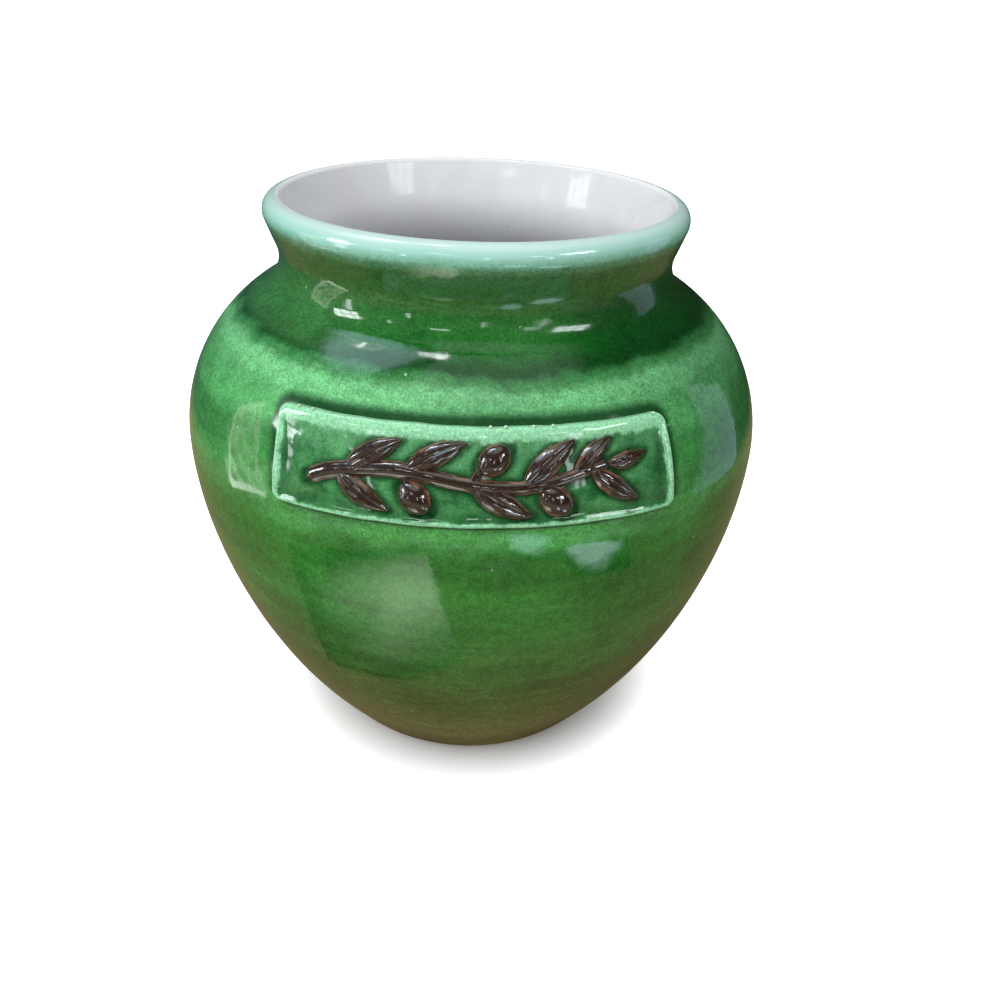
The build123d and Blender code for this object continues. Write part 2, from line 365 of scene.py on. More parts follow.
def buildTurnedShell():  # spins a profile into a closed shell with soft throwing lines
    tree, given, out = newTree("turnedShell", "GeometryNodeTree", [
        ("Profile", "Geometry", None),
        ("Turn Steps", "Int", 264),
        ("Wrap", "Int", 0),
        ("Ripple", "Float", 0.0),
        ("Ripple Spacing", "Float", 0.005),
        ("Wobble", "Float", 0.0),
        ("Seed", "Float", 0.0),
        ("Glaze", "Material", None),
    ], [("Shell", "Geometry")])
    size = place(tree, "GeometryNodeAttributeDomainSize", {"Geometry": given["Profile"]}, component="MESH")
    count = size.outputs["Point Count"]
    rows = count + given["Wrap"]
    columns = given["Turn Steps"] + 1.0
    grid = place(tree, "GeometryNodeMeshGrid", {"Vertices X": columns, "Vertices Y": rows})
    index = place(tree, "GeometryNodeInputIndex").outputs[0]
    column = calc("FLOOR", index / rows)
    row = calc("MODULO", calc("MODULO", index, rows), count)
    point = place(tree, "GeometryNodeSampleIndex", data_type="FLOAT_VECTOR", domain="POINT")
    put(given["Profile"], point.inputs["Geometry"])
    put(place(tree, "GeometryNodeInputPosition").outputs[0], pick(point.inputs, "Value"))
    put(row, point.inputs["Index"])
    radius, _, height = split(pick(point.outputs, "Value"))
    turn = column / given["Turn Steps"] * (2 * pi)
    direction = xyz(calc("COSINE", turn), calc("SINE", turn))
    flat = scaled(direction, radius)
    tall = xyz(0.0, 0.0, height)
    lines = scaled(vector("ADD", scaled(flat, pot["rippleRound"]), tall), 1.0 / given["Ripple Spacing"])
    ripple = (clouds(lines, 1.0, 1.0, seed=given["Seed"]) - 0.5) * given["Ripple"]
    broad = clouds(vector("ADD", flat, tall), pot["wobbleScale"], 1.0, seed=given["Seed"])
    wobble = (broad - 0.5) * given["Wobble"]
    still = zone(height, *pot["stillFoot"]) * zone(radius, *pot["stillCentre"])
    push = (ripple + wobble) * still * 2.0
    spot = vector("ADD", scaled(direction, radius + push), tall)
    moved = place(tree, "GeometryNodeSetPosition", {"Geometry": grid.outputs["Mesh"], "Position": spot})
    joined = place(tree, "GeometryNodeMergeByDistance", {"Geometry": moved.outputs[0], "Distance": 1e-6})
    endTree(joined.outputs[0], given["Glaze"], out["Shell"])
    return tree


turnedShell = buildTurnedShell()


def turnPot(name, profile, wrap, material, node, slot):
    mesh = bpy.data.meshes.new(name + "Profile")
    mesh.from_pydata([(r * mm, 0, z * mm) for r, z in profile], [], [])
    obj = applyTree(name, mesh, turnedShell, {
        "Turn Steps": pot["turnSteps"],
        "Wrap": wrap,
        "Ripple": pot["ripple"] * mm,
        "Ripple Spacing": pot["rippleSpacing"] * mm,
        "Wobble": pot["wobble"] * mm,
        "Seed": float(pot["seed"]),
        "Glaze": material,
    })
    return settle(obj, slot, node)


def settle(obj, slot, *nodes):
    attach(obj, "root")
    if nodes:
        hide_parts(*nodes)
    return obj


# Glaze effects that several finishes share

effects = {
    "grain": (4.0, 0.62),  # detail and roughness of the noise
    "cloud": (4.0, 0.55, 0.4),  # and its distortion
    "streak": (3.0, 0.6),
    "streakRound": 0.12,  # how little a streak changes on its way round the pot
    "grainRange": (0.3, 0.7),
    "cloudRange": (0.32, 0.68),
    "swell": (2.0, 0.45),
    "prickScale": 260.0,
    "prickSize": (0.035, 0.09, 1.0, 0.0),
    "prickFrom": 0.86,  # share of the cells that have none
}


def buildGlazeMottle():
    tree, given, out = newTree("glazeMottle", "ShaderNodeTree", [
        ("Vector", "Vector", None),
        ("Grain Size", "Float", 0.0008),
        ("Cloud Size", "Float", 0.009),
        ("Streak Size", "Float", 0.004),
    ], [("Grain", "Float"), ("Cloud", "Float"), ("Streak", "Float")])
    spot = given["Vector"]
    grain = clouds(spot, 1.0 / given["Grain Size"], *effects["grain"])
    cloud = clouds(spot, 1.0 / given["Cloud Size"], *effects["cloud"])
    drawn = vector("MULTIPLY", spot, (effects["streakRound"], effects["streakRound"], 1.0))
    streak = clouds(drawn, 1.0 / given["Streak Size"], *effects["streak"])
    put(ramp(grain, *effects["grainRange"]), out["Grain"])
    put(ramp(cloud, *effects["cloudRange"]), out["Cloud"])
    put(ramp(streak, *effects["cloudRange"]), out["Streak"])
    return tree


def buildGlazeSkin():  # the faint swell and the pin pricks of a melted surface
    tree, given, out = newTree("glazeSkin", "ShaderNodeTree", [
        ("Vector", "Vector", None),
        ("Swell Size", "Float", 0.004),
        ("Pricks", "Float", 1.0),
    ], [("Height", "Float"), ("Speck", "Float")])
    swell = clouds(given["Vector"], 1.0 / given["Swell Size"], *effects["swell"])
    cells = place(tree, "ShaderNodeTexVoronoi", {"Vector": given["Vector"], "Scale": effects["prickScale"]})
    chosen = calc("GREATER_THAN", split(cells.outputs["Color"])[0], effects["prickFrom"])
    speck = ramp(cells.outputs["Distance"], *effects["prickSize"]) * chosen
    put(swell - speck * given["Pricks"], out["Height"])
    put(speck, out["Speck"])
    return tree


labelOutline = {  # millimetres, as the label's face shows them from the front
    "left": (34.5, -0.75, -0.2),  # half width at the middle, how it leans and how it bows towards the top
    "right": (35.2, -1.5, -0.7),
    "halfWidth": 34.8,
    "halfHeight": 7.78,
    "middle": 86.41,
    "droop": 0.85,  # how far the ends hang below the middle
    "droopReach": 34.0,  # where they hang that far
    "corner": 1.6,
    "over": 1.5,  # height over the pot's glaze at which the outline is measured
    "stretch": (1.0233, 1.0, 1.043),  # from the pot's glaze out to that height
}
labelSpan = pot["shoulderArc"] + labelOutline["over"]


def buildLabelReach():  # how far a point of the pot's glaze lies from the label's outline
    tree, given, out = newTree("labelReach", "ShaderNodeTree", [
        ("Vector", "Vector", None),
        ("Left Side", "Vector", tuple(v * mm for v in labelOutline["left"])),
        ("Right Side", "Vector", tuple(v * mm for v in labelOutline["right"])),
        ("Half Height", "Float", labelOutline["halfHeight"] * mm),
        ("Middle Height", "Float", labelOutline["middle"] * mm),
        ("Droop", "Float", labelOutline["droop"] * mm),
        ("Corner", "Float", labelOutline["corner"] * mm),
        ("Stretch", "Vector", labelOutline["stretch"]),
    ], [("Outside", "Float"), ("Rise", "Float")])
    shift = (0.0, 0.0, (1 - labelOutline["stretch"][2]) * shoulderCentre[1] * mm)
    raised = vector("MULTIPLY_ADD", given["Vector"], given["Stretch"], shift)
    x, y, z = split(raised)
    along = x / (labelOutline["droopReach"] * mm)
    rise = z - given["Middle Height"] + along * along * given["Droop"]
    share = rise / given["Half Height"]
    onRight = calc("GREATER_THAN", x, 0.0)
    swing = scaled(vector("SUBTRACT", given["Right Side"], given["Left Side"]), onRight)
    half = vector("DOT_PRODUCT", vector("ADD", given["Left Side"], swing), xyz(1.0, share, share * share))
    acrossCorner = calc("ABSOLUTE", x) - (half - given["Corner"])
    upCorner = calc("ABSOLUTE", rise) - (given["Half Height"] - given["Corner"])
    over = vector("LENGTH", xyz(calc("MAXIMUM", acrossCorner, 0.0), calc("MAXIMUM", upCorner, 0.0)))
    under = calc("MINIMUM", calc("MAXIMUM", acrossCorner, upCorner), 0.0)
    behind = calc("GREATER_THAN", y, 0.0)  # the back of the pot counts as a metre off
    put(over + under - given["Corner"] + behind, out["Outside"])
    put(rise, out["Rise"])
    return tree


glazeMottle = buildGlazeMottle()
glazeSkin = buildGlazeSkin()
labelReach = buildLabelReach()


def mottle(spot, grain, cloud, streak):  # sizes in millimetres
    sizes = {"Grain Size": grain * mm, "Cloud Size": cloud * mm, "Streak Size": streak * mm}
    return useGroup(glazeMottle, {"Vector": spot, **sizes})


def meltedSkin(spot, size, pricks):
    return useGroup(glazeSkin, {"Vector": spot, "Swell Size": size * mm, "Pricks": pricks})


def newMaterial(name):
    material = bpy.data.materials.new(name)
    material.use_nodes = True
    shader = next(n for n in material.node_tree.nodes if n.type == "BSDF_PRINCIPLED")
    return material, shader, place(material.node_tree, "ShaderNodeTexCoord").outputs["Object"]


def mix(amount, first, second):
    made = place(treeOf(amount, first, second), "ShaderNodeMix", data_type="RGBA")
    put(amount, made.inputs["Factor"])
    put(first, next(s for s in made.inputs if s.name == "A" and s.type == "RGBA"))
    put(second, next(s for s in made.inputs if s.name == "B" and s.type == "RGBA"))
    return next(s for s in made.outputs if s.type == "RGBA")


def colourBand(value, stops):
    made = place(value.id_data, "ShaderNodeValToRGB", {0: value})
    band = made.color_ramp
    band.interpolation = "EASE"
    for at, colour in stops[1:-1]:
        band.elements.new(at).color = colour
    band.elements[0].position, band.elements[0].color = stops[0][0], stops[0][1]
    band.elements[-1].position, band.elements[-1].color = stops[-1][0], stops[-1][1]
    return made.outputs[0]


def attribute(material, name):
    return place(material.node_tree, "ShaderNodeAttribute", attribute_name=name).outputs["Fac"]


def finish(shader, body, sheen, skin, glaze):  # the endings that all the pot's materials share
    strength, distance = glaze["relief"]
    relief = {"Height": skin["Height"], "Strength": strength, "Distance": distance * mm}
    put(body, shader.inputs["Base Color"])
    put(ramp(sheen, 0.0, 1.0, *glaze["roughness"]), shader.inputs["Roughness"])
    put(place(body.id_data, "ShaderNodeBump", relief).outputs[0], shader.inputs["Normal"])


greenGlaze = {
    "heights": [  # from the foot to the lip, as shares of the height
        # olive-brown towards the foot: a painted reflection of a warm table
        (0.00, tone(118, 120, 66)),
        (0.12, tone(120, 128, 72)),
        (0.18, tone(100, 114, 60)),
        (0.25, tone(78, 106, 48)),
        (0.38, tone(70, 122, 56)),
        (0.48, tone(60, 128, 54)),
        (0.585, tone(56, 134, 52)),
        (0.63, tone(84, 166, 86)),
        (0.70, tone(66, 142, 70)),
        (0.76, tone(84, 162, 94)),
        # pale band: painted light on the upward-facing shoulder
        (0.808, tone(112, 188, 126)),
        # dark band in the fold: pooled glaze with painted shade
        (0.822, tone(64, 132, 74)),
        (0.834, tone(16, 72, 22)),
        (0.856, tone(26, 102, 32)),
        (0.880, tone(50, 116, 50)),
        (0.93, tone(56, 112, 52)),
        (0.952, tone(62, 112, 58)),
        (0.963, tone(92, 148, 102)),
        (0.975, tone(142, 206, 182)),
        (0.986, tone(174, 224, 212)),
        (1.0, tone(202, 228, 222)),
    ],
    # pooled glaze colour, also used for painted shade
    "poolAndShade": tone(8, 52, 20),
    "fleck": tone(200, 226, 196),
    "foldPaintedLight": tone(84, 140, 84),
    "grain": 0.62,  # how far the fine mottle, its broken patches, the streaks and the clouds go either way
    "patches": 0.32,
    "streaks": 0.38,
    "clouds": 0.30,
    "mottle": (0.42, 17.0, 6.0),  # sizes of the grain, the clouds and the streaks, in millimetres
    "broken": (1.6, 6.0, 2.0),
    "skin": (6.0, 0.6),  # size of the swell and depth of the pricks
    "relief": (0.35, 0.3),  # strength and depth of the bump
    "roughness": (0.07, 0.13),
    "ior": 1.52,
    "uneven": (0.008, 0.006),  # how far the bands of the heights wander, as shares of the height
    "evenLip": (117, 108, 0.25, 1.0),  # from and to in millimetres, and the factor at either
    "foldFoot": (99.2, 100.8),  # the fold between shoulder and neck, with painted shade on the right and painted light on the left
    "foldTop": (112.5, 106),
    "foldShadeRight": (8, 26, 0.0, 0.62),
    "foldLightLeft": (-12, -30, 0.0, 0.35),
    "shadeRight": (12, 55),  # painted shade: darker on the right, most of all on the shoulder
    "shadeShoulder": (50, 75, 0.12, 0.4),
    "shadeTop": (112, 105),
    "belly": (112, 90),
    "calmLip": (115.5, 118.5),
    "poolShadowWidth": (-8.8, -6.0, 1.1 * mm, 2.6 * mm),  # glaze pooled round the label with a painted shadow along its edge, by height over its middle
    "poolShadowDepth": (-8.8, 6.0, 0.8, 0.9),
    "poolShadowCore": 0.35,
    "flecks": 0.5,
}


def waver(value, amount):  # a factor around one
    return 1.0 + (value - 0.5) * amount


def makeGreenGlaze():
    material, shader, spot = newMaterial("copperGreenGlaze")
    glaze = greenGlaze
    x, _, z = split(spot)
    marks, broken = mottle(spot, *glaze["mottle"]), mottle(spot, *glaze["broken"])
    skin = meltedSkin(spot, *glaze["skin"])
    uneven = (marks["Cloud"] - 0.5) * glaze["uneven"][0] + (broken["Cloud"] - 0.5) * glaze["uneven"][1]
    share = z / (jarHeight * mm) + uneven * zone(z, *glaze["evenLip"])
    # the height bands hold a painted reflection, painted light and painted shade
    body = colourBand(share, glaze["heights"])
    # painted shade on the right of the fold, painted light on its left
    fold = zone(z, *glaze["foldFoot"]) * zone(z, *glaze["foldTop"])
    body = mix(fold * zone(x, *glaze["foldShadeRight"]), body, glaze["poolAndShade"])
    body = mix(fold * zone(x, *glaze["foldLightLeft"]), body, glaze["foldPaintedLight"])
    # painted shade: darker on the right, most of all on the shoulder
    shadedRight = zone(x, *glaze["shadeRight"]) * zone(z, *glaze["shadeShoulder"])
    body = mix(shadedRight * zone(z, *glaze["shadeTop"]), body, glaze["poolAndShade"])
    onBelly = zone(z, *glaze["belly"])
    change = waver(marks["Grain"], glaze["grain"]) * waver(broken["Grain"], glaze["patches"])
    change = change * waver(marks["Streak"], onBelly * glaze["streaks"])
    change = change * waver(marks["Cloud"], onBelly * glaze["clouds"])
    body = scaled(body, change + zone(z, *glaze["calmLip"]) * (1.0 - change))
    # pooled glaze round the label, with a painted shadow along its edge
    reach = useGroup(labelReach, {"Vector": spot})
    width = zone(reach["Rise"], *glaze["poolShadowWidth"])
    poolAndShadow = ramp(reach["Outside"] / width, glaze["poolShadowCore"], 1.0, 1.0, 0.0)
    body = mix(poolAndShadow * zone(reach["Rise"], *glaze["poolShadowDepth"]), body, glaze["poolAndShade"])
    body = mix(skin["Speck"] * glaze["flecks"], body, glaze["fleck"])
    finish(shader, body, marks["Cloud"], skin, glaze)
    shader.inputs["IOR"].default_value = glaze["ior"]
    return material


creamGlaze = {
    "light": tone(235, 237, 239),
    "shade": tone(225, 224, 227),
    # darker colour for the specks and for painted shade deep inside
    "poolAndShade": tone(170, 152, 146),
    "clouds": 0.6,
    "grain": 0.12,
    "flecks": 0.35,
    "depthShade": (20, 6, 0.0, 0.6),  # painted shade deeper inside: from and to in millimetres, and the share at either
    "mottle": (1.2, 20.0, 6.0),
    "skin": (7.0, 0.8),
    "relief": (0.3, 0.3),
    "roughness": (0.07, 0.11),
    "ior": 1.45,
    "specular": 0.16,
}


def makeCreamGlaze():
    material, shader, spot = newMaterial("creamLinerGlaze")
    marks, skin = mottle(spot, *creamGlaze["mottle"]), meltedSkin(spot, *creamGlaze["skin"])
    body = mix(marks["Cloud"] * creamGlaze["clouds"], creamGlaze["light"], creamGlaze["shade"])
    body = mix(marks["Grain"] * creamGlaze["grain"], body, creamGlaze["shade"])
    # painted shade: darker deeper inside the jar
    body = mix(zone(split(spot)[2], *creamGlaze["depthShade"]), body, creamGlaze["poolAndShade"])
    body = mix(skin["Speck"] * creamGlaze["flecks"], body, creamGlaze["poolAndShade"])
    finish(shader, body, marks["Cloud"], skin, creamGlaze)
    shader.inputs["IOR"].default_value = creamGlaze["ior"]
    shader.inputs["Specular IOR Level"].default_value = creamGlaze["specular"]
    return material


bareClay = {
    "light": tone(214, 184, 146),
    "dark": tone(168, 128, 92),
    "speck": tone(96, 70, 52),
    "grain": 0.35,
    "specks": 0.8,
    "mottle": (0.6, 12.0, 3.0),
    "skin": (1.1, 1.5),
    "relief": (0.6, 0.4),
    "roughness": (0.72, 0.92),
}


def makeBareClay():
    material, shader, spot = newMaterial("bareStoneware")
    marks, skin = mottle(spot, *bareClay["mottle"]), meltedSkin(spot, *bareClay["skin"])
    body = mix(marks["Cloud"], bareClay["light"], bareClay["dark"])
    body = mix(marks["Grain"] * bareClay["grain"], body, bareClay["dark"])
    body = mix(skin["Speck"] * bareClay["specks"], body, bareClay["speck"])
    finish(shader, body, marks["Grain"], skin, bareClay)
    return material


turnPot("potGlaze", glazeProfile(), 1, makeGreenGlaze(), "outer_glaze", "green_glaze")
turnPot("potLiner", linerProfile(), 0, makeCreamGlaze(), "inner_glaze", "cream_glaze")
turnPot("potClay", clayProfile(), 0, makeBareClay(), "jar_body", "clay")
print("pot turned")

# The label slab, bent round the shoulder

label = {
    "width": 66.4,
    "height": 15.9,
    "slope": 23.7,
    "proud": 1.7,
    "recess": 0.5,
    "section": [  # distance in from the outline, height over the pot's glaze
        (-1.0, -0.35), (-0.6, -0.25), (-0.4, -0.12), (-0.25, 0.04), (-0.12, 0.30), (-0.05, 0.62),
        (0.0, 0.92), (0.06, 1.20), (0.14, 1.42), (0.26, 1.56), (0.40, 1.64), (0.56, 1.66),
        (0.74, 1.64), (0.94, 1.57), (1.15, 1.46), (1.4, 1.34), (1.7, 1.25), (2.1, 1.20),
        (2.6, 1.18), (3.4, 1.19), (4.4, 1.20), (9.0, 1.20),
    ],
    "under": [  # the hidden face below, in the same way, without its last ring
        (-0.9, -0.42), (-0.3, -0.45), (1.0, -0.4), (3.0, -0.4), (6.0, -0.4),
    ],
    "topStretch": 0.6,  # how much wider the upper border is
    "band": (1.5, 0.8, -0.5),  # width of the pale break on the sides, what the top and the foot add, the top's part painted light
    "bandRagged": 0.3,
    "bandEnd": (0.6, 1.25),  # shares of its width between which it ends
    "bandStart": (-0.34, -0.1),  # in from the outline
    "wellStart": (0.9, 1.3),  # shares of the break's width between which the pooled glaze and painted shade inside it begin
    "wellEnd": (0.5, 3.2),  # and how far beyond the break it ends
    "unevenGround": 0.07,
    "unevenEdge": 0.16,
    "edgeCalm": (0.5, 3.0),  # in from the outline, where the edge's unevenness ends
    "groundStart": (-0.6, 0.8),  # and where the ground's begins
    "hollows": (1.6, 4.1),  # the ground's broad and fine unevenness, as multiples of the flutter
    "longSteps": 170,
    "shortSteps": 34,
    "cornerSteps": 9,
    "smear": (11.5, 78.3),  # the place of a brown run of glaze on the lower border
    "smearSpread": (3.4, 0.5),
    "smearLean": 0.05,
    "glow": (0.82, 0.18),  # how pale the break is on the sides, and the painted light that the top adds
    "well": (0.36, -0.26),  # how deep the glaze pools, with painted shade, inside the border, and what the top adds
    "ends": (0.195, -0.0117),  # how deep it pools, with painted shade, towards the ends, and what each millimetre up adds
    "endsFrom": (24.0, 33.0),  # across and in from the outline, where that begins
    "endsInward": (1.4, 3.0),
    "footPoolShadow": (-0.4, -0.15),  # in from the outline, where the pooled glaze and painted shadow at the slab's foot end
    "reliefPoolShade": (0.82, 0.3, 1.6),  # how deep the glaze pools, with painted shade, round the sprig, and over what gap
    "flutter": 0.16,  # turns of the uneven edge and the ground in a millimetre
}
labelFace = pot["shoulderArc"] + label["proud"]
labelGround = labelFace - label["recess"]
labelReachRadius = shoulderCentre[0] + labelFace * cos(radians(label["slope"]))


def fromFront(x, z, height):  # a point over the shoulder, above the place that the outline's x and z give
    slope = asin((z - shoulderCentre[1]) / labelSpan)
    bearing = asin(x / (shoulderCentre[0] + labelSpan * cos(slope)))
    span = pot["shoulderArc"] + height
    radius = shoulderCentre[0] + span * cos(slope)
    rise = shoulderCentre[1] + span * sin(slope)
    return Vector((radius * sin(bearing), -radius * cos(bearing), rise)) * mm


def onOutline(x, z):  # leans and bows the sides and lets the ends droop
    share = z / labelOutline["halfHeight"]
    base, leaning, bow = labelOutline["right" if x > 0 else "left"]
    x *= (base + leaning * share + bow * share**2) / labelOutline["halfWidth"]
    return x, z - labelOutline["droop"] * (x / labelOutline["droopReach"]) ** 2


def labelRing(inset):
    halfWidth, halfHeight = labelOutline["halfWidth"] - inset, labelOutline["halfHeight"] - inset
    corner = labelOutline["corner"] - (0.5 if inset > 0 else 0.6) * inset
    corner = max(min(max(corner, 0.9), halfHeight), 0.0)
    ring = []
    flatX, flatZ = halfWidth - corner, halfHeight - corner
    sides = [((-flatX, halfHeight), (flatX, halfHeight), (0, 1), (flatX, flatZ), label["longSteps"]),
             ((halfWidth, flatZ), (halfWidth, -flatZ), (1, 0), (flatX, -flatZ), label["shortSteps"]),
             ((flatX, -halfHeight), (-flatX, -halfHeight), (0, -1), (-flatX, -flatZ), label["longSteps"]),
             ((-halfWidth, -flatZ), (-halfWidth, flatZ), (-1, 0), (-flatX, flatZ), label["shortSteps"])]
    for start, end, outward, pivot, steps in sides:
        for share in np.linspace(0, 1, steps + 1):
            spot = onOutline(start[0] + (end[0] - start[0]) * share, start[1] + (end[1] - start[1]) * share)
            ring.append((*spot, *outward))
        first = atan2(outward[1], outward[0])
        for share in range(1, label["cornerSteps"]):
            turn = first - share / label["cornerSteps"] * pi / 2
            spot = onOutline(pivot[0] + corner * cos(turn), pivot[1] + corner * sin(turn))
            ring.append((*spot, cos(turn), sin(turn)))
    return ring


def smoothStep(value, low, high):
    share = np.clip((value - low) / (high - low), 0.0, 1.0)
    return share * share * (3 - 2 * share)


def makeLabelSlab(material):
    insets = [*np.arange(-1.0, -0.3, 0.15), *np.arange(-0.3, 0.6, 0.06), *np.arange(0.6, 3.0, 0.15)]
    insets += list(np.linspace(3.05, labelOutline["halfHeight"], 13))
    section = list(zip(*label["section"]))
    under = label["under"] + [(labelOutline["halfHeight"], label["under"][-1][1])]
    layers = [(inset, None, True) for inset in insets][::-1]
    layers += [(inset, height, False) for inset, height in under]
    places, thin, pooledAndShaded, seen = [], [], [], []
    flutter, (broad, fine) = label["flutter"], label["hollows"]
    for inset, height, onTop in layers:
        for x, z, outX, outZ in labelRing(inset):
            spot = Vector((x * 0.11, z * flutter, 0))
            edge = label["unevenEdge"] * noise.noise(Vector((x * flutter, z * flutter, 7.0)))
            edge *= 1 - smoothStep(inset, *label["edgeCalm"])
            lift = 0.0
            if onTop and inset > label["groundStart"][0]:
                lift = noise.noise(spot * broad) + 0.5 * noise.noise(spot * fine + Vector((0, 0, 3)))
                lift *= label["unevenGround"] * smoothStep(inset, *label["groundStart"])
            upper, lower = max(outZ, 0.0), max(-outZ, 0.0)
            reach = inset / (1 + label["topStretch"] * upper) if inset > 0 else inset
            rise = np.interp(reach, *section) if onTop else height
            places.append(fromFront(x + outX * edge, labelOutline["middle"] + z + outZ * edge, rise + lift))
            seen.append((x, z + labelOutline["middle"]))
            # the pale break of thin glaze along the border, made wider and paler at the top as painted light
            band = label["bandRagged"] * noise.noise(Vector((x * 0.5, z * 0.5, 11.0)))
            band += label["band"][0] + label["band"][1] * upper + label["band"][2] * lower
            glow = smoothStep(inset, *label["bandStart"])
            glow *= 1 - smoothStep(inset, *(band * share for share in label["bandEnd"]))
            glow *= label["glow"][0] + label["glow"][1] * upper
            # pooled glaze with painted shade: inside the border, towards the ends and at the slab's foot
            well = smoothStep(inset, *(band * share for share in label["wellStart"]))
            well *= 1 - smoothStep(inset, *(band + beyond for beyond in label["wellEnd"]))
            well *= label["well"][0] + label["well"][1] * upper
            ends = smoothStep(abs(x), *label["endsFrom"]) * smoothStep(inset, *label["endsInward"])
            ends *= label["ends"][0] + label["ends"][1] * z
            foot = 1 - smoothStep(inset, *label["footPoolShadow"])
            thin.append(glow if onTop else 0.0)
            pooledAndShaded.append(max(well + ends, foot) if onTop else 1.0)
    # pooled glaze with painted shade round the sprig
    depth, nearest, farthest = label["reliefPoolShade"]
    pooledAndShaded = np.maximum(pooledAndShaded, depth * (1 - smoothStep(reliefGap(np.array(seen)), nearest, farthest)))
    side, rise = (np.array(seen) - label["smear"]).T
    wide, tall = label["smearSpread"]
    smear = np.exp(-((side / wide) ** 2) - ((rise + label["smearLean"] * side) / tall) ** 2)
    count = len(labelRing(0.0))
    faces = []
    for row in range(len(layers) - 1):
        for step in range(count):
            a, b = row * count + step, row * count + (step + 1) % count
            faces.append((a, b, b + count, a + count))
    mesh = bpy.data.meshes.new("labelSlab")
    mesh.from_pydata(places, [], faces)
    for name, values in (("thin", thin), ("pooledAndShaded", pooledAndShaded), ("smear", smear)):
        storeNumbers(mesh, name, values)
    mesh.materials.append(material)
    obj = faceOutwards(addObject("labelSlab", mesh))
    return settle(obj, "mint_glaze", "label_plaque")


labelGlaze = {
    "ground": tone(76, 152, 84),
    "groundLight": tone(128, 200, 146),
    "groundDark": tone(34, 98, 46),
    # pooled glaze colour, also used for painted shade
    "poolAndShade": tone(6, 52, 20),
    # pale break colour, also used for painted light on the top
    "thin": tone(156, 224, 176),
    "smear": tone(108, 72, 50),
    "mottle": (0.45, 5.0, 4.0),
    "broken": (1.5, 4.0, 3.0),
    "skin": (5.0, 0.5),
    "relief": (0.4, 0.3),
    "roughness": (0.06, 0.12),
    "ior": 1.52,
    "paleTop": (85, 92.5),  # painted light: heights between which the ground gets paler, and where that fades to the right
    "paleSide": (32, 8, 0.35, 1.0),
    "pale": (0.25, 0.35),  # how pale the broken patches are, and the painted light on the top
    "ragged": 0.45,
    "thinRange": (0.12, 0.9),
    "thinStart": (0.0, 0.12),
    "smearBroken": (0.2, 0.6),
    "grain": 0.45,
}


def makeLabelGlaze():
    material, shader, spot = newMaterial("mintLabelGlaze")
    glaze = labelGlaze
    x, _, z = split(spot)
    marks, broken = mottle(spot, *glaze["mottle"]), mottle(spot, *glaze["broken"])
    skin = meltedSkin(spot, *glaze["skin"])
    pooledAndShaded, thin = attribute(material, "pooledAndShaded"), attribute(material, "thin")
    body = mix(marks["Cloud"], glaze["groundDark"], glaze["ground"])
    # painted light: the ground paler towards the top, fading to the right
    high = zone(z, *glaze["paleTop"]) * zone(x, *glaze["paleSide"])
    body = mix(broken["Grain"] * glaze["pale"][0] + high * glaze["pale"][1], body, glaze["groundLight"])
    edge = (broken["Grain"] - 0.5) * glaze["ragged"]
    # pooled glaze with painted shade
    body = mix(calc("MINIMUM", pooledAndShaded + edge * pooledAndShaded, 1.0), body, glaze["poolAndShade"])
    # the pale break, with painted light on the top
    pale = ramp(thin + edge, *glaze["thinRange"]) * ramp(thin, *glaze["thinStart"])
    body = mix(pale, body, glaze["thin"])
    smear = attribute(material, "smear") * ramp(broken["Cloud"], *glaze["smearBroken"])
    body = mix(smear, body, glaze["smear"])
    body = scaled(body, waver(marks["Grain"], glaze["grain"]))
    finish(shader, body, marks["Cloud"], skin, glaze)
    shader.inputs["IOR"].default_value = glaze["ior"]
    return material


# The olive sprig in relief, laid out flat in millimetres and bent onto the label

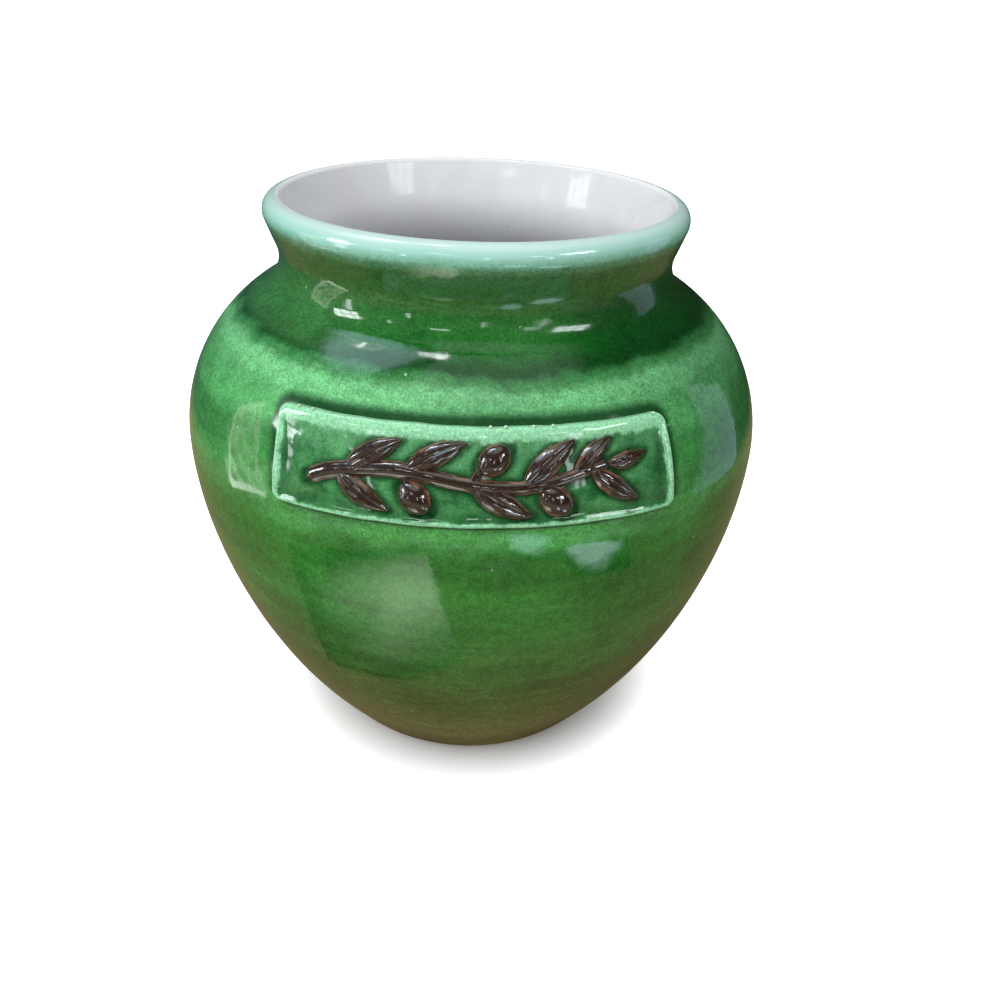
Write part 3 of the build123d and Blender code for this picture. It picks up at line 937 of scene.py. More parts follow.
sprig = {
    "stem": [(-0.86, -0.34), (-0.77, -0.15), (-0.66, -0.02), (-0.52, 0.08), (-0.38, 0.12),
             (-0.22, 0.05), (-0.06, -0.05), (0.10, -0.12), (0.24, -0.14), (0.36, -0.10),
             (0.48, -0.01), (0.60, 0.09), (0.72, 0.16)],
    "stemThick": (1.25, 0.72),  # at the cut end and at the tip
    "stemHeight": 0.98,
    "stalkThick": 0.62,
    "leaves": [  # along, up, turn, size, arch
        (-0.66, -0.02, 33.0, 1.00, 1.0), (-0.70, -0.07, -29.0, 0.96, -1.0), (-0.34, 0.11, 27.0, 1.00, 1.0),
        (0.00, -0.07, -29.0, 1.00, -1.0), (0.26, -0.13, 37.0, 1.04, 1.0), (0.62, 0.10, -37.0, 0.92, -1.0),
        (0.52, 0.03, 35.0, 0.84, 1.0), (0.71, 0.15, 7.0, 0.70, -1.0),
    ],
    "leaf": {"Length": 11.6, "Start": 0.0, "Half Width": 1.72, "Height": 1.5, "Arch": 0.9, "Widest": 0.82,
             "Pointed": 0.8, "Groove": 0.42, "Veins": 5.0, "Vein Depth": 0.03, "Skirt": 0.22, "Steps": 72},
    "olives": [  # along, up, turn, size, arch
        (-0.28, -0.38, -44.0, 1.0, 0.2), (0.11, 0.40, 42.0, 1.0, 0.2), (0.42, -0.44, -38.0, 1.0, 0.2),
    ],
    "olive": {"Length": 6.4, "Start": -0.5, "Half Width": 2.2, "Height": 2.05, "Arch": 0.0, "Widest": 1.0,
              "Pointed": 0.5, "Groove": 0.0, "Veins": 0.0, "Vein Depth": 0.0, "Skirt": 0.16, "Steps": 56},
    "stalkFeet": [(-0.38, 0.12), (0.00, -0.07), (0.30, -0.12)],
    "lengths": ("Length", "Half Width", "Height", "Arch", "Groove", "Vein Depth"),  # in millimetres
    "stemStep": 0.3,
    "knots": 0.35,
    "knotScale": 190.0,
    "stemCut": (0.0, 0.02, 0.35, 1.0),  # along the stem from and to, and the thickness at either
    "stemTip": (1.0, 0.985, 0.2, 1.0),
    "stalkBow": 0.08,  # as a share of the stalk's length
    "stalkBends": (0.35, 0.7),
    "stalkSwells": (1.35, 1.0, 0.95, 1.1),  # its thickness from the stem to the olive
    "aroundLeaf": 40,
    "aroundStem": 24,
    "stemSkirt": 0.3,
    "gapWidths": (0.95, 0.6),  # half widths of the stem and the stalks, where the glaze pools round them
}


def flatSpot(along, up):
    tall = label["height"] / cos(radians(label["slope"]))
    return Vector((along * label["width"] / 2, up * tall / 2, 0)) * mm


def alongMotif(motif, form, share):  # a flat place on a leaf's or an olive's line, and the half width there
    along, up, turn, size, arch = motif
    forth = (share + form["Start"]) * form["Length"] * size
    across = 2 * share * (1 - share) * form["Arch"] * size * arch
    c, s = cos(radians(turn)), sin(radians(turn))
    foot = flatSpot(along, up) / mm
    width = form["Half Width"] * size * sin(pi * share ** form["Widest"]) ** form["Pointed"]
    return (foot.x + forth * c - across * s, foot.y + forth * s + across * c, width)


def reliefGap(seen):  # how far places on the label lie from the sprig's edge
    spots = []
    stem = [flatSpot(*p) / mm for p in sprig["stem"]]
    pairs = zip(sprig["stalkFeet"], sprig["olives"])
    stalks = [(flatSpot(*foot) / mm, flatSpot(*olive[:2]) / mm) for foot, olive in pairs]
    for lines, width in zip((zip(stem, stem[1:]), stalks), sprig["gapWidths"]):
        for start, end in lines:
            spots += [(*start.lerp(end, share)[:2], width) for share in np.linspace(0, 1, 9)]
    for motifs, form in ((sprig["leaves"], sprig["leaf"]), (sprig["olives"], sprig["olive"])):
        shares = np.linspace(0.03, 0.97, 16)
        spots += [alongMotif(motif, form, share) for motif in motifs for share in shares]
    slope = np.arcsin((seen[:, 1] - shoulderCentre[1]) / labelSpan)
    bearing = np.arcsin(seen[:, 0] / (shoulderCentre[0] + labelSpan * np.cos(slope)))
    flat = (bearing * labelReachRadius, (slope - radians(label["slope"])) * labelGround)
    gap = np.full(len(seen), 99.0)
    for x, y, width in spots:
        gap = np.minimum(gap, np.hypot(flat[0] - x, flat[1] - y) - width)
    return gap


makeLabelSlab(makeLabelGlaze())
print("label slab bent")


def buildBendOnLabel():  # takes a flat point with its height over the label to its place on the shoulder
    tree, given, out = newTree("bendOnLabel", "GeometryNodeTree", [
        ("Flat", "Vector", None),
        ("Reach", "Float", labelReachRadius * mm),
        ("Ground", "Float", labelGround * mm),
        ("Slope", "Float", radians(label["slope"])),
        ("Centre Radius", "Float", shoulderCentre[0] * mm),
        ("Centre Height", "Float", shoulderCentre[1] * mm),
    ], [("Position", "Vector")])
    x, y, z = split(given["Flat"])
    bearing = x / given["Reach"]
    slope = given["Slope"] + y / given["Ground"]
    span = given["Ground"] + z
    radius = given["Centre Radius"] + span * calc("COSINE", slope)
    height = given["Centre Height"] + span * calc("SINE", slope)
    forth = radius * calc("COSINE", bearing) * -1.0
    put(xyz(radius * calc("SINE", bearing), forth, height), out["Position"])
    return tree


strokeForm = {
    "skirtReach": 0.34,  # as shares of the half height and the half width
    "grooveReach": 0.2,
    "fullness": 0.74,  # the less, the fuller
    "sunk": 0.45,  # how far the stroke reaches under the ground, in millimetres
}


def buildReliefSection():  # the rounded section of a stroke, with a skirt where it meets the ground
    tree, given, out = newTree("reliefSection", "GeometryNodeTree", [
        ("Around", "Float", 0.0),
        ("Half Width", "Float", 0.001),
        ("Height", "Float", 0.001),
        ("Skirt", "Float", 0.2),
        ("Groove", "Float", 0.0),
    ], [("Side", "Float"), ("Rise", "Float"), ("Crest", "Float"), ("Across", "Float")])
    turn = given["Around"] * (2 * pi)
    across, upright = calc("COSINE", turn), calc("SINE", turn)
    up, down = calc("MAXIMUM", upright, 0.0), calc("MINIMUM", upright, 0.0)
    near = upright / strokeForm["skirtReach"]
    flare = calc("EXPONENT", near * near * -1.0) * given["Skirt"]
    middle = across / strokeForm["grooveReach"]
    dent = calc("EXPONENT", middle * middle * -1.0) * up * given["Groove"]
    put(across * (1.0 + flare) * given["Half Width"], out["Side"])
    crown = up ** strokeForm["fullness"] * given["Height"]
    put(crown - dent + down * (strokeForm["sunk"] * mm), out["Rise"])
    put(up, out["Crest"])
    put(across, out["Across"])
    return tree


bendOnLabel = buildBendOnLabel()
reliefSection = buildReliefSection()


def storeValue(geometry, name, value, kind="FLOAT"):
    inputs = {"Geometry": geometry, "Name": name, "Value": value}
    tree = geometry.id_data
    return place(tree, "GeometryNodeStoreNamedAttribute", inputs, data_type=kind, domain="POINT").outputs[0]


def readValue(tree, name, kind="FLOAT"):
    made = place(tree, "GeometryNodeInputNamedAttribute", {"Name": name}, data_type=kind)
    return pick(made.outputs, "Attribute")


def sweepRelief(curve, around, halfWidth, height, skirt, groove, material, out, extra=None):
    tree = curve.id_data
    curve = storeValue(curve, "along", place(tree, "GeometryNodeSplineParameter").outputs["Factor"])
    curve = storeValue(curve, "middle", place(tree, "GeometryNodeInputPosition").outputs[0], "FLOAT_VECTOR")
    curve = storeValue(curve, "heading", place(tree, "GeometryNodeInputTangent").outputs[0], "FLOAT_VECTOR")
    ring = {"Resolution": around, "Radius": 0.2 * mm}
    circle = place(tree, "GeometryNodeCurvePrimitiveCircle", ring, mode="RADIUS").outputs["Curve"]
    circle = storeValue(circle, "around", place(tree, "GeometryNodeInputIndex").outputs[0] / float(around))
    sweep = {"Curve": curve, "Profile Curve": circle, "Fill Caps": True}
    tube = place(tree, "GeometryNodeCurveToMesh", sweep)
    stroke = useGroup(reliefSection, {"Around": readValue(tree, "around"), "Half Width": halfWidth,
                                      "Height": height, "Skirt": skirt, "Groove": groove})
    rise = stroke["Rise"] + extra(stroke) if extra else stroke["Rise"]
    sideways = vector("CROSS_PRODUCT", (0.0, 0.0, 1.0), readValue(tree, "heading", "FLOAT_VECTOR"))
    offset = scaled(vector("NORMALIZE", sideways), stroke["Side"])
    flat = vector("ADD", readValue(tree, "middle", "FLOAT_VECTOR"), offset)
    bent = useGroup(bendOnLabel, {"Flat": vector("ADD", flat, xyz(0.0, 0.0, rise))})
    marked = storeValue(tube.outputs[0], "crest", stroke["Crest"])
    marked = storeValue(marked, "across", stroke["Across"])
    moved = place(tree, "GeometryNodeSetPosition", {"Geometry": marked, "Position": bent["Position"]})
    endTree(moved.outputs[0], material, out)


motifShape = {
    "tip": 0.02,  # half width left at the tips, in millimetres
    "tallness": 0.75,  # how soon the height drops towards the tips, next to the width
    "grooveEnds": 0.7,
    "veinSlant": 1.3,
    "veinStart": (0.1, 0.4),  # shares of the half width between which the veins begin
}


def buildReliefMotifs():  # leaves or olives on the points of a mesh, each with its own turn, size and arch
    tree, given, out = newTree("reliefMotifs", "GeometryNodeTree", [
        ("Spots", "Geometry", None),
        ("Length", "Float", 0.01),
        ("Start", "Float", 0.0),
        ("Half Width", "Float", 0.002),
        ("Height", "Float", 0.0015),
        ("Arch", "Float", 0.0),
        ("Widest", "Float", 1.0),
        ("Pointed", "Float", 0.5),
        ("Groove", "Float", 0.0),
        ("Veins", "Float", 0.0),
        ("Vein Depth", "Float", 0.0),
        ("Skirt", "Float", 0.2),
        ("Steps", "Int", 60),
        ("Glaze", "Material", None),
    ], [("Motifs", "Geometry")])
    start = given["Length"] * given["Start"]
    end = start + given["Length"]
    middle = start + given["Length"] * 0.5
    line = place(tree, "GeometryNodeCurveQuadraticBezier", {
        "Resolution": given["Steps"], "Start": xyz(start), "Middle": xyz(middle, given["Arch"]),
        "End": xyz(end)})
    size, arch = readValue(tree, "size"), readValue(tree, "arch")
    instances = place(tree, "GeometryNodeInstanceOnPoints", {
        "Points": given["Spots"], "Instance": line.outputs[0],
        "Rotation": xyz(0.0, 0.0, readValue(tree, "turn")),
        "Scale": xyz(size, size * arch, size)})
    curves = place(tree, "GeometryNodeRealizeInstances", {"Geometry": instances.outputs[0]}).outputs[0]
    along = readValue(tree, "along")
    swell = calc("MAXIMUM", calc("SINE", along ** given["Widest"] * pi), 0.0)
    wide = swell ** given["Pointed"] * given["Half Width"] * size + motifShape["tip"] * mm
    tall = swell ** (given["Pointed"] * motifShape["tallness"]) * given["Height"] * size ** 0.5
    groove = given["Groove"] * swell ** motifShape["grooveEnds"]

    def veinLines(stroke):
        across = calc("ABSOLUTE", stroke["Across"])
        wave = calc("SINE", (along * given["Veins"] - across * motifShape["veinSlant"]) * (2 * pi))
        soft = stroke["Crest"] * swell * ramp(across, *motifShape["veinStart"])
        return wave * soft * given["Vein Depth"]

    around, skirt = sprig["aroundLeaf"], given["Skirt"]
    sweepRelief(curves, around, wide, tall, skirt, groove, given["Glaze"], out["Motifs"], veinLines)
    return tree


def buildReliefStem():
    tree, given, out = newTree("reliefStem", "GeometryNodeTree", [
        ("Lines", "Geometry", None),
        ("Height Share", "Float", 0.9),
        ("Step", "Float", 0.0003),
        ("Knots", "Float", 0.1),
        ("Glaze", "Material", None),
    ], [("Stem", "Geometry")])
    curve = place(tree, "GeometryNodeMeshToCurve", {"Mesh": given["Lines"]}).outputs[0]
    curve = place(tree, "GeometryNodeCurveSplineType", {"Curve": curve}, spline_type="CATMULL_ROM")
    steps = {"Curve": curve.outputs[0], "Length": given["Step"]}
    curve = place(tree, "GeometryNodeResampleCurve", steps, mode="LENGTH").outputs[0]
    thick, along = readValue(tree, "thick"), readValue(tree, "along")
    ends = ramp(along, *sprig["stemCut"]) * ramp(along, *sprig["stemTip"])
    lumps = clouds(readValue(tree, "middle", "FLOAT_VECTOR"), sprig["knotScale"], 1.0)
    wide = thick * ends * (1.0 + (lumps - 0.5) * given["Knots"])
    tall = wide * given["Height Share"]
    around, skirt = sprig["aroundStem"], sprig["stemSkirt"]
    sweepRelief(curve, around, wide, tall, skirt, 0.0, given["Glaze"], out["Stem"])
    return tree


def spotMesh(name, spots):
    mesh = bpy.data.meshes.new(name)
    mesh.from_pydata([flatSpot(along, up) for along, up, *_ in spots], [], [])
    storeNumbers(mesh, "turn", [radians(s[2]) for s in spots])
    storeNumbers(mesh, "size", [s[3] for s in spots])
    storeNumbers(mesh, "arch", [s[4] for s in spots])
    return mesh


def stemMesh():
    lines = [[flatSpot(*p) for p in sprig["stem"]]]
    thick = list(np.linspace(*sprig["stemThick"], len(lines[0])) * mm)
    for foot, (along, up, *_) in zip(sprig["stalkFeet"], sprig["olives"]):
        start, end = flatSpot(*foot), flatSpot(along, up)
        bow = Vector((-(end - start).y, (end - start).x, 0)) * sprig["stalkBow"]
        lines.append([start, *(start.lerp(end, share) + bow for share in sprig["stalkBends"]), end])
        thick += [sprig["stalkThick"] * mm * swell for swell in sprig["stalkSwells"]]
    edges, first = [], 0
    for line in lines:
        edges += [(first + i, first + i + 1) for i in range(len(line) - 1)]
        first += len(line)
    mesh = bpy.data.meshes.new("stemLines")
    mesh.from_pydata([p for line in lines for p in line], edges, [])
    storeNumbers(mesh, "thick", thick)
    return mesh


brownGlaze = {
    "dark": tone(38, 26, 20),
    "brown": tone(82, 54, 42),
    "rust": tone(146, 106, 84),
    "green": tone(22, 62, 34),
    "mottle": (0.6, 4.0, 3.0),
    "skin": (1.8, 0.4),
    "relief": (0.3, 0.3),
    "roughness": (0.09, 0.17),
    "ior": 1.65,
    "specular": 0.85,
    "grain": 0.5,
    "uneven": 0.55,
    "rustFrom": (0.0, 0.15),  # from the ground up to the crest, as shares of the height
    "rustTo": (0.56, 0.28),
    "rustShare": 0.6,
    "greenFoot": (0.16, 0.02),
}


def makeBrownGlaze():
    material, shader, spot = newMaterial("manganeseBrownGlaze")
    glaze = brownGlaze
    marks, skin = mottle(spot, *glaze["mottle"]), meltedSkin(spot, *glaze["skin"])
    crest = attribute(material, "crest")
    uneven = crest + (marks["Cloud"] - 0.5) * glaze["uneven"]
    body = mix(marks["Grain"] * glaze["grain"], glaze["dark"], glaze["brown"])
    rim = ramp(uneven, *glaze["rustFrom"]) * ramp(uneven, *glaze["rustTo"])
    body = mix(rim * glaze["rustShare"], body, glaze["rust"])
    body = mix(ramp(crest, *glaze["greenFoot"]), body, glaze["green"])
    finish(shader, body, marks["Cloud"], skin, glaze)
    shader.inputs["IOR"].default_value = glaze["ior"]
    shader.inputs["Specular IOR Level"].default_value = glaze["specular"]
    return material


def makeSprig():
    glaze = makeBrownGlaze()
    motifs = buildReliefMotifs()
    for name, spots, form, nodes in (
        ("sprigLeaves", sprig["leaves"], sprig["leaf"], [f"leaf_{n}" for n in range(1, 9)]),
        ("sprigOlives", sprig["olives"], sprig["olive"], [f"olive_{n}" for n in range(1, 4)]),
    ):
        values = {key: value * mm if key in sprig["lengths"] else value for key, value in form.items()}
        obj = applyTree(name, spotMesh(name + "Spots", spots), motifs, {**values, "Glaze": glaze})
        settle(obj, "brown_glaze", *nodes)
    values = {"Height Share": sprig["stemHeight"], "Step": sprig["stemStep"] * mm, "Knots": sprig["knots"]}
    stem = applyTree("sprigStem", stemMesh(), buildReliefStem(), {**values, "Glaze": glaze})
    settle(stem, "brown_glaze", "sprig_stem")


makeSprig()
print("sprig laid on the label")

# Small tips of glaze that stand up from the slab's upper edge

nibs = {
    "spots": [  # x, length
        (-30.9, 1.0), (-28.3, 0.8), (2.9, 0.6), (5.5, 0.7), (10.4, 0.55), (13.8, 0.6), (32.6, 0.7),
    ],
    "radius": 0.27,
    "aim": (0.45, 0.5, 0.75),  # to the right, out and up
    "slimming": 0.35,  # how much the tip is slimmer than the middle
    "below": 0.2,  # how far below the upper outline they start, and how high over the pot's glaze
    "over": 1.5,
    "out": 0.3,  # share of the length that lies between the start and the middle
    "pale": tone(196, 232, 208),
    "paler": tone(226, 236, 214),
    "mottle": (0.4, 1.0, 1.0),
    "roughness": (0.08, 0.16),
}


def buildGlazeNibs():
    tree, given, out = newTree("glazeNibs", "GeometryNodeTree", [
        ("Spots", "Geometry", None),
        ("Radius", "Float", 0.0003),
        ("Aim", "Vector", (0.0, 0.0, 1.0)),
        ("Glaze", "Material", None),
    ], [("Nibs", "Geometry")])
    drop = place(tree, "GeometryNodeMeshIcoSphere", {"Radius": 1.0, "Subdivisions": 3}).outputs[0]
    position = place(tree, "GeometryNodeInputPosition").outputs[0]
    slim = 1.0 - split(position)[2] * nibs["slimming"]
    pear = place(tree, "GeometryNodeSetPosition", {
        "Geometry": drop, "Position": vector("MULTIPLY", position, xyz(slim, slim, 1.0))}).outputs[0]
    turn = place(tree, "FunctionNodeAlignRotationToVector", {"Vector": given["Aim"]}, axis="Z").outputs[0]
    made = place(tree, "GeometryNodeInstanceOnPoints", {
        "Points": given["Spots"], "Instance": pear, "Rotation": turn,
        "Scale": xyz(given["Radius"], given["Radius"], readValue(tree, "length") * 0.5)})
    endTree(made.outputs[0], given["Glaze"], out["Nibs"])
    return tree


def makeNibs():
    material, shader, spot = newMaterial("nibGlaze")
    marks = mottle(spot, *nibs["mottle"])
    put(mix(marks["Grain"], nibs["pale"], nibs["paler"]), shader.inputs["Base Color"])
    put(ramp(marks["Cloud"], 0.0, 1.0, *nibs["roughness"]), shader.inputs["Roughness"])
    right, outward, up = nibs["aim"]
    aim = Vector((right, -outward, up))
    middles = []
    for x, length in nibs["spots"]:
        side, rise = onOutline(x, labelOutline["halfHeight"])
        root = fromFront(side, labelOutline["middle"] + rise - nibs["below"], nibs["over"])
        middles.append(root + aim.normalized() * length * nibs["out"] * mm)
    mesh = bpy.data.meshes.new("nibSpots")
    mesh.from_pydata(middles, [], [])
    storeNumbers(mesh, "length", [length * mm for _, length in nibs["spots"]])
    values = {"Radius": nibs["radius"] * mm, "Aim": tuple(aim), "Glaze": material}
    settle(applyTree("glazeNibs", mesh, buildGlazeNibs(), values), "mint_glaze")


makeNibs()
print("glaze tips set")

# Floor, surroundings and lights

studio = {
    "floor": (0.93, 0.93, 0.925, 1.0),
    "floorWhite": (31, 58),  # distance where the floor starts to brighten, and where it is white
    "tableInGlaze": (0.30, 0.215, 0.12, 1.0),  # what the glossy sides mirror: a warm table
    "paperInGlaze": (0.62, 0.66, 0.62, 1.0),
    "behindLeft": (0.045, 0.095, 0.085, 1.0),
    "behindRight": (0.022, 0.036, 0.018, 1.0),
    "floorBounce": (0.44, 0.40, 0.34, 1.0),
    "white": (1.0, 1.0, 1.0, 1.0),
    "wallLeft": (0.045, 0.10, 0.115, 1.0),
    "wallRight": (0.02, 0.035, 0.02, 1.0),
    "ceiling": (0.80, 0.86, 0.86, 1.0),
    "fillLeft": (0.62, 0.65, 0.66, 1.0),
    "fillRight": (0.51, 0.52, 0.53, 1.0),
    "daylight": (0.92, 0.98, 1.0, 1.0),
    "skyLight": (0.95, 0.99, 1.0, 1.0),
    "paneFrame": (0.02, 0.03, 0.03, 1.0),
    "gardenDark": (0.22, 0.20, 0.12, 1.0),
    "gardenRim": (2.0, 2.1, 1.9, 1.0),
    "black": (0.0, 0.0, 0.0, 1.0),
    "target": (0.0, -25.0, 90.0),  # where lamps and cards aim, in millimetres
    "paperScale": 14.0,
    "papers": (0.52, 0.6),  # values of the noise between which pale patches begin on the table
    "papersFrom": (130, 190),  # their distance from the middle and their depth, in millimetres
    "papersDepth": (-80, -160),
    "behindFrom": (200, 340),  # where the table ends, in the same way
    "behindDepth": (-140, -20),
    "behindSide": (-120, 120),  # and from where to where the colours behind it change
    "wallTurn": (-0.9, 0.3),  # parts of the way across and up between which the room's colours change
    "ceilingFrom": (0.84, 0.96),
    "fillTurn": (-0.7, 0.7),
    "paneBars": ((0, 0.36), (0, 0.7), (1, 0.5)),  # which way over the card, and where
    "barWidth": (0.02, 0.035),
    "fades": ((0, 1.0, 0.45), (0, 0.0, 0.05), (1, 0.97, 0.3), (1, 0.0, 0.4)),  # which way, from and to
    "blob": (0.48, 0.26),
    "leafScale": 5.0,
    "leaves": (0.42, 0.6),
    "rim": (0.43, 0.46),
    "floorRoughness": 0.8,
    "floorSpecular": 0.1,
    "floorHalf": 6.0,  # metres
    "lamps": [  # name, azimuth from the front, elevation, distance, width, height, power, colour
        ("topSoftbox", -30, 66, 1.1, 1.0, 0.9, 5.5, (1.0, 0.99, 0.97)),
        ("leftSoftbox", -50, 40, 1.0, 0.7, 0.6, 2.9, (0.95, 0.98, 1.0)),
        ("rightSoftbox", 62, 30, 1.0, 0.7, 0.6, 0.35, (1.0, 0.98, 0.95)),
    ],
    "cards": [  # name, azimuth, elevation, distance, width, height, turn, brightness, pattern, tint
        ("leftWindow", -77, 22, 0.9, 0.22, 0.21, 0, 17.0, "panes", (0.93, 0.98, 1.0, 1.0)),
        ("skylight", -125.7, 77.1, 0.9, 0.063, 0.12, 3.5, 20.0, "plain", "skyLight"),
        ("backWindow", -123.3, 62, 0.9, 0.06, 0.17, 4, 20.0, "plain", "skyLight"),
        ("rightWindow", 58, 32, 0.9, 0.26, 0.16, 0, 15.0, "panes", (0.90, 0.97, 1.0, 1.0)),
        ("frontLeftGlow", -22, 35, 0.8, 0.11, 0.05, 0, 9.0, "plain", "daylight"),
        ("frontRightGlow", 33, 30, 0.8, 0.09, 0.10, 0, 5.0, "plain", "daylight"),
        ("leftLowGlow", -73, 3, 0.8, 0.06, 0.26, 0, 8.0, "plain", "daylight"),
        ("leftPaneGlow", -49, 27, 0.8, 0.035, 0.09, 0, 8.0, "plain", "daylight"),
        ("leftDoorGlow", -37, 9, 0.8, 0.035, 0.16, 0, 8.0, "plain", "daylight"),
        ("middleDoorGlow", 4, 20, 0.8, 0.03, 0.18, 0, 7.0, "plain", "daylight"),
        ("rightDoorGlow", 38, 17, 0.8, 0.04, 0.24, 0, 7.0, "plain", "daylight"),
        ("pitchedCeiling", -112, 61, 1.0, 0.62, 0.62, 0, 3.2, "blob", (0.62, 0.82, 1.0, 1.0)),
    ],
    "sheets": [  # name, brightness, pattern, tint, four corners in metres
        ("rightSheet", 0.85, "plain", (0.62, 0.72, 0.95, 1.0),
         ((0.316, 0.043, 0.23), (0.319, 0.128, 0.141), (0.218, 0.073, 0.009), (0.263, -0.04, 0.002))),
        ("leftGarden", 2.0, "garden", (1.0, 1.0, 0.94, 1.0),
         ((-0.369, 0.04, 0.141), (-0.353, -0.022, 0.215), (-0.242, -0.083, 0.007), (-0.195, -0.003, 0.006))),
        ("tableSheet", 2.6, "faded", (1.15, 1.2, 1.0, 1.0),
         ((-0.056, -0.214, 0.002), (-0.125, -0.071, 0.002), (-0.048, -0.039, 0.002),
          (-0.001, -0.075, 0.002))),
        ("tableGlow", 3.6, "blob", (0.66, 0.95, 1.0, 1.0),
         ((0.066, -0.35, 0.002), (0.15, -0.30, 0.002), (0.076, -0.14, 0.002), (0.036, -0.17, 0.002))),
        ("tableGlowRight", 4.0, "blob", (0.72, 0.95, 1.0, 1.0),
         ((0.105, -0.21, 0.002), (0.165, -0.13, 0.002), (0.105, -0.080, 0.002), (0.070, -0.115, 0.002))),
    ],
}


def byRay(tree, camera, mirrored, scattered):
    path = place(tree, "ShaderNodeLightPath").outputs
    return mix(path["Is Camera Ray"], mix(path["Is Glossy Ray"], scattered, mirrored), camera)


def addFloor():
    half = studio["floorHalf"]
    mesh = bpy.data.meshes.new("floor")
    corners = [(-half, -half, 0), (half, -half, 0), (half, half, 0), (-half, half, 0)]
    mesh.from_pydata(corners, [], [(0, 1, 2, 3)])
    material, shader, spot = newMaterial("paleFloor")
    side, depth, _ = split(spot)
    far = vector("LENGTH", spot)
    patches = ramp(clouds(spot, studio["paperScale"], 2.0), *studio["papers"])
    papers = patches * zone(far, *studio["papersFrom"]) * zone(depth, *studio["papersDepth"])
    table = mix(papers, studio["tableInGlaze"], studio["paperInGlaze"])
    behind = mix(zone(side, *studio["behindSide"]), studio["behindLeft"], studio["behindRight"])
    gone = zone(far, *studio["behindFrom"]) * zone(depth, *studio["behindDepth"])
    floor = byRay(material.node_tree, studio["floor"], mix(gone, table, behind), studio["floorBounce"])
    put(floor, shader.inputs["Base Color"])
    seen = place(material.node_tree, "ShaderNodeLightPath").outputs["Is Camera Ray"]
    white = mix(zone(far, *studio["floorWhite"]) * seen, studio["black"], studio["white"])
    put(white, shader.inputs["Emission Color"])
    shader.inputs["Emission Strength"].default_value = 1.0
    shader.inputs["Roughness"].default_value = studio["floorRoughness"]
    shader.inputs["Specular IOR Level"].default_value = studio["floorSpecular"]
    mesh.materials.append(material)
    addObject("floor", mesh)


def addWorld():
    world = bpy.data.worlds.new("studio")
    scene.world = world
    world.use_nodes = True
    tree = world.node_tree
    background = next(n for n in tree.nodes if n.type == "BACKGROUND")
    x, _, z = split(place(tree, "ShaderNodeTexCoord").outputs["Generated"])
    walls = mix(ramp(x, *studio["wallTurn"]), studio["wallLeft"], studio["wallRight"])
    room = mix(ramp(z, *studio["ceilingFrom"]), walls, studio["ceiling"])
    fill = mix(ramp(x, *studio["fillTurn"]), studio["fillLeft"], studio["fillRight"])
    put(byRay(tree, studio["white"], room, fill), background.inputs["Color"])


def facing(azimuth, elevation, distance):
    turn, rise = radians(azimuth), radians(elevation)
    away = Vector((sin(turn) * cos(rise), -cos(turn) * cos(rise), sin(rise)))
    return Vector(studio["target"]) * mm + away * distance, away


def addLamps():
    for name, azimuth, elevation, distance, width, height, power, colour in studio["lamps"]:
        lamp = bpy.data.lights.new(name, "AREA")
        lamp.shape = "RECTANGLE"
        lamp.size, lamp.size_y = width, height
        lamp.energy = power
        lamp.color = colour
        obj = addObject(name, lamp)
        obj.location, away = facing(azimuth, elevation, distance)
        obj.rotation_euler = away.to_track_quat("Z", "Y").to_euler()
        obj.visible_camera = False
        obj.visible_glossy = False


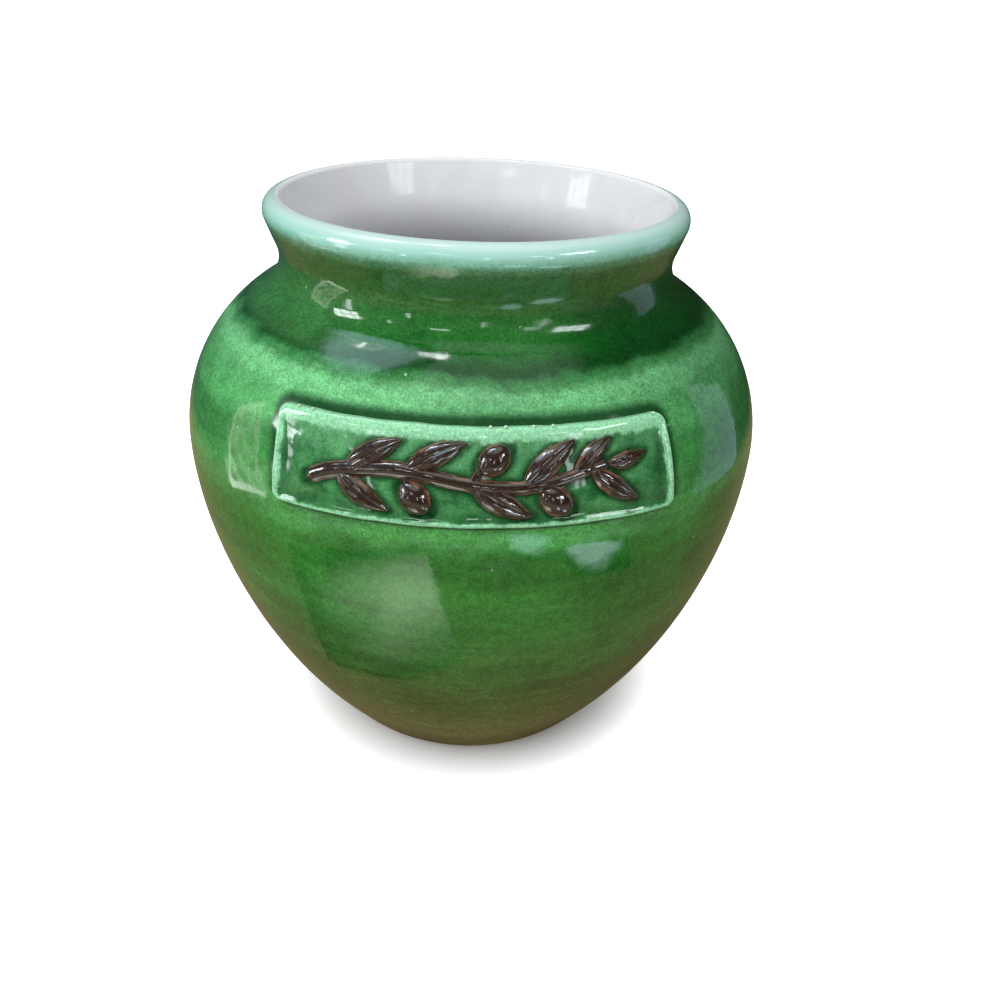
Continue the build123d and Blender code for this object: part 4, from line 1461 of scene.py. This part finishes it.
def cardGlow(name, pattern, brightness, tint):
    material = bpy.data.materials.new(name + "Glow")
    material.use_nodes = True
    tree = material.node_tree
    tree.nodes.clear()
    card = place(tree, "ShaderNodeUVMap", uv_map="card").outputs[0]
    ways = split(card)
    colour = tint
    if pattern == "panes":
        bars = [ramp(calc("ABSOLUTE", ways[n] - at), *studio["barWidth"]) for n, at in studio["paneBars"]]
        colour = mix(prod(bars), studio["paneFrame"], tint)
    if pattern == "faded":  # one firm edge, the others soft
        colour = mix(prod(ramp(ways[n], *fade) for n, *fade in studio["fades"]), studio["black"], tint)
    if pattern == "blob":
        centred = vector("SUBTRACT", xyz(ways[0], ways[1]), (0.5, 0.5, 0.0))
        colour = mix(ramp(vector("LENGTH", centred), *studio["blob"]), studio["black"], tint)
    if pattern == "garden":
        leaves = ramp(clouds(card, studio["leafScale"], 3.0), *studio["leaves"])
        rim = calc("MAXIMUM", calc("ABSOLUTE", ways[0] - 0.5), calc("ABSOLUTE", ways[1] - 0.5))
        colour = mix(leaves, studio["gardenDark"], tint)
        colour = mix(ramp(rim, *studio["rim"]), colour, studio["gardenRim"])
    glow = place(tree, "ShaderNodeEmission", {"Color": colour, "Strength": brightness})
    output = tree.nodes.new("ShaderNodeOutputMaterial")
    tree.links.new(glow.outputs[0], output.inputs["Surface"])
    return material


def addCard(name, corners, brightness, pattern, tint):  # a bright pane that only the glossy surfaces mirror
    mesh = bpy.data.meshes.new(name)
    mesh.from_pydata(corners, [], [(0, 1, 2, 3)])
    layer = mesh.uv_layers.new(name="card")
    for at, uv in zip(layer.data, ((0, 1), (1, 1), (1, 0), (0, 0))):
        at.uv = uv
    mesh.materials.append(cardGlow(name, pattern, brightness, studio.get(tint, tint)))
    obj = addObject(name, mesh)
    obj.visible_camera = obj.visible_diffuse = obj.visible_shadow = False
    obj.visible_transmission = obj.visible_volume_scatter = False


def addCards():
    for name, azimuth, elevation, distance, width, height, turn, *finish in studio["cards"]:
        middle, away = facing(azimuth, elevation, distance)
        side = Vector((0, 0, 1)).cross(away).normalized()
        up = away.cross(side).normalized()
        c, s = cos(radians(turn)), sin(radians(turn))
        wide, tall = (side * c + up * s) * width / 2, (up * c - side * s) * height / 2
        corners = [middle + wide * a + tall * b for a, b in ((-1, 1), (1, 1), (1, -1), (-1, -1))]
        addCard(name, corners, *finish)
    for name, *finish, corners in studio["sheets"]:
        addCard(name, corners, *finish)


addFloor()
addWorld()
addLamps()
addCards()
scene.view_settings.view_transform = "Standard"
print("studio set")
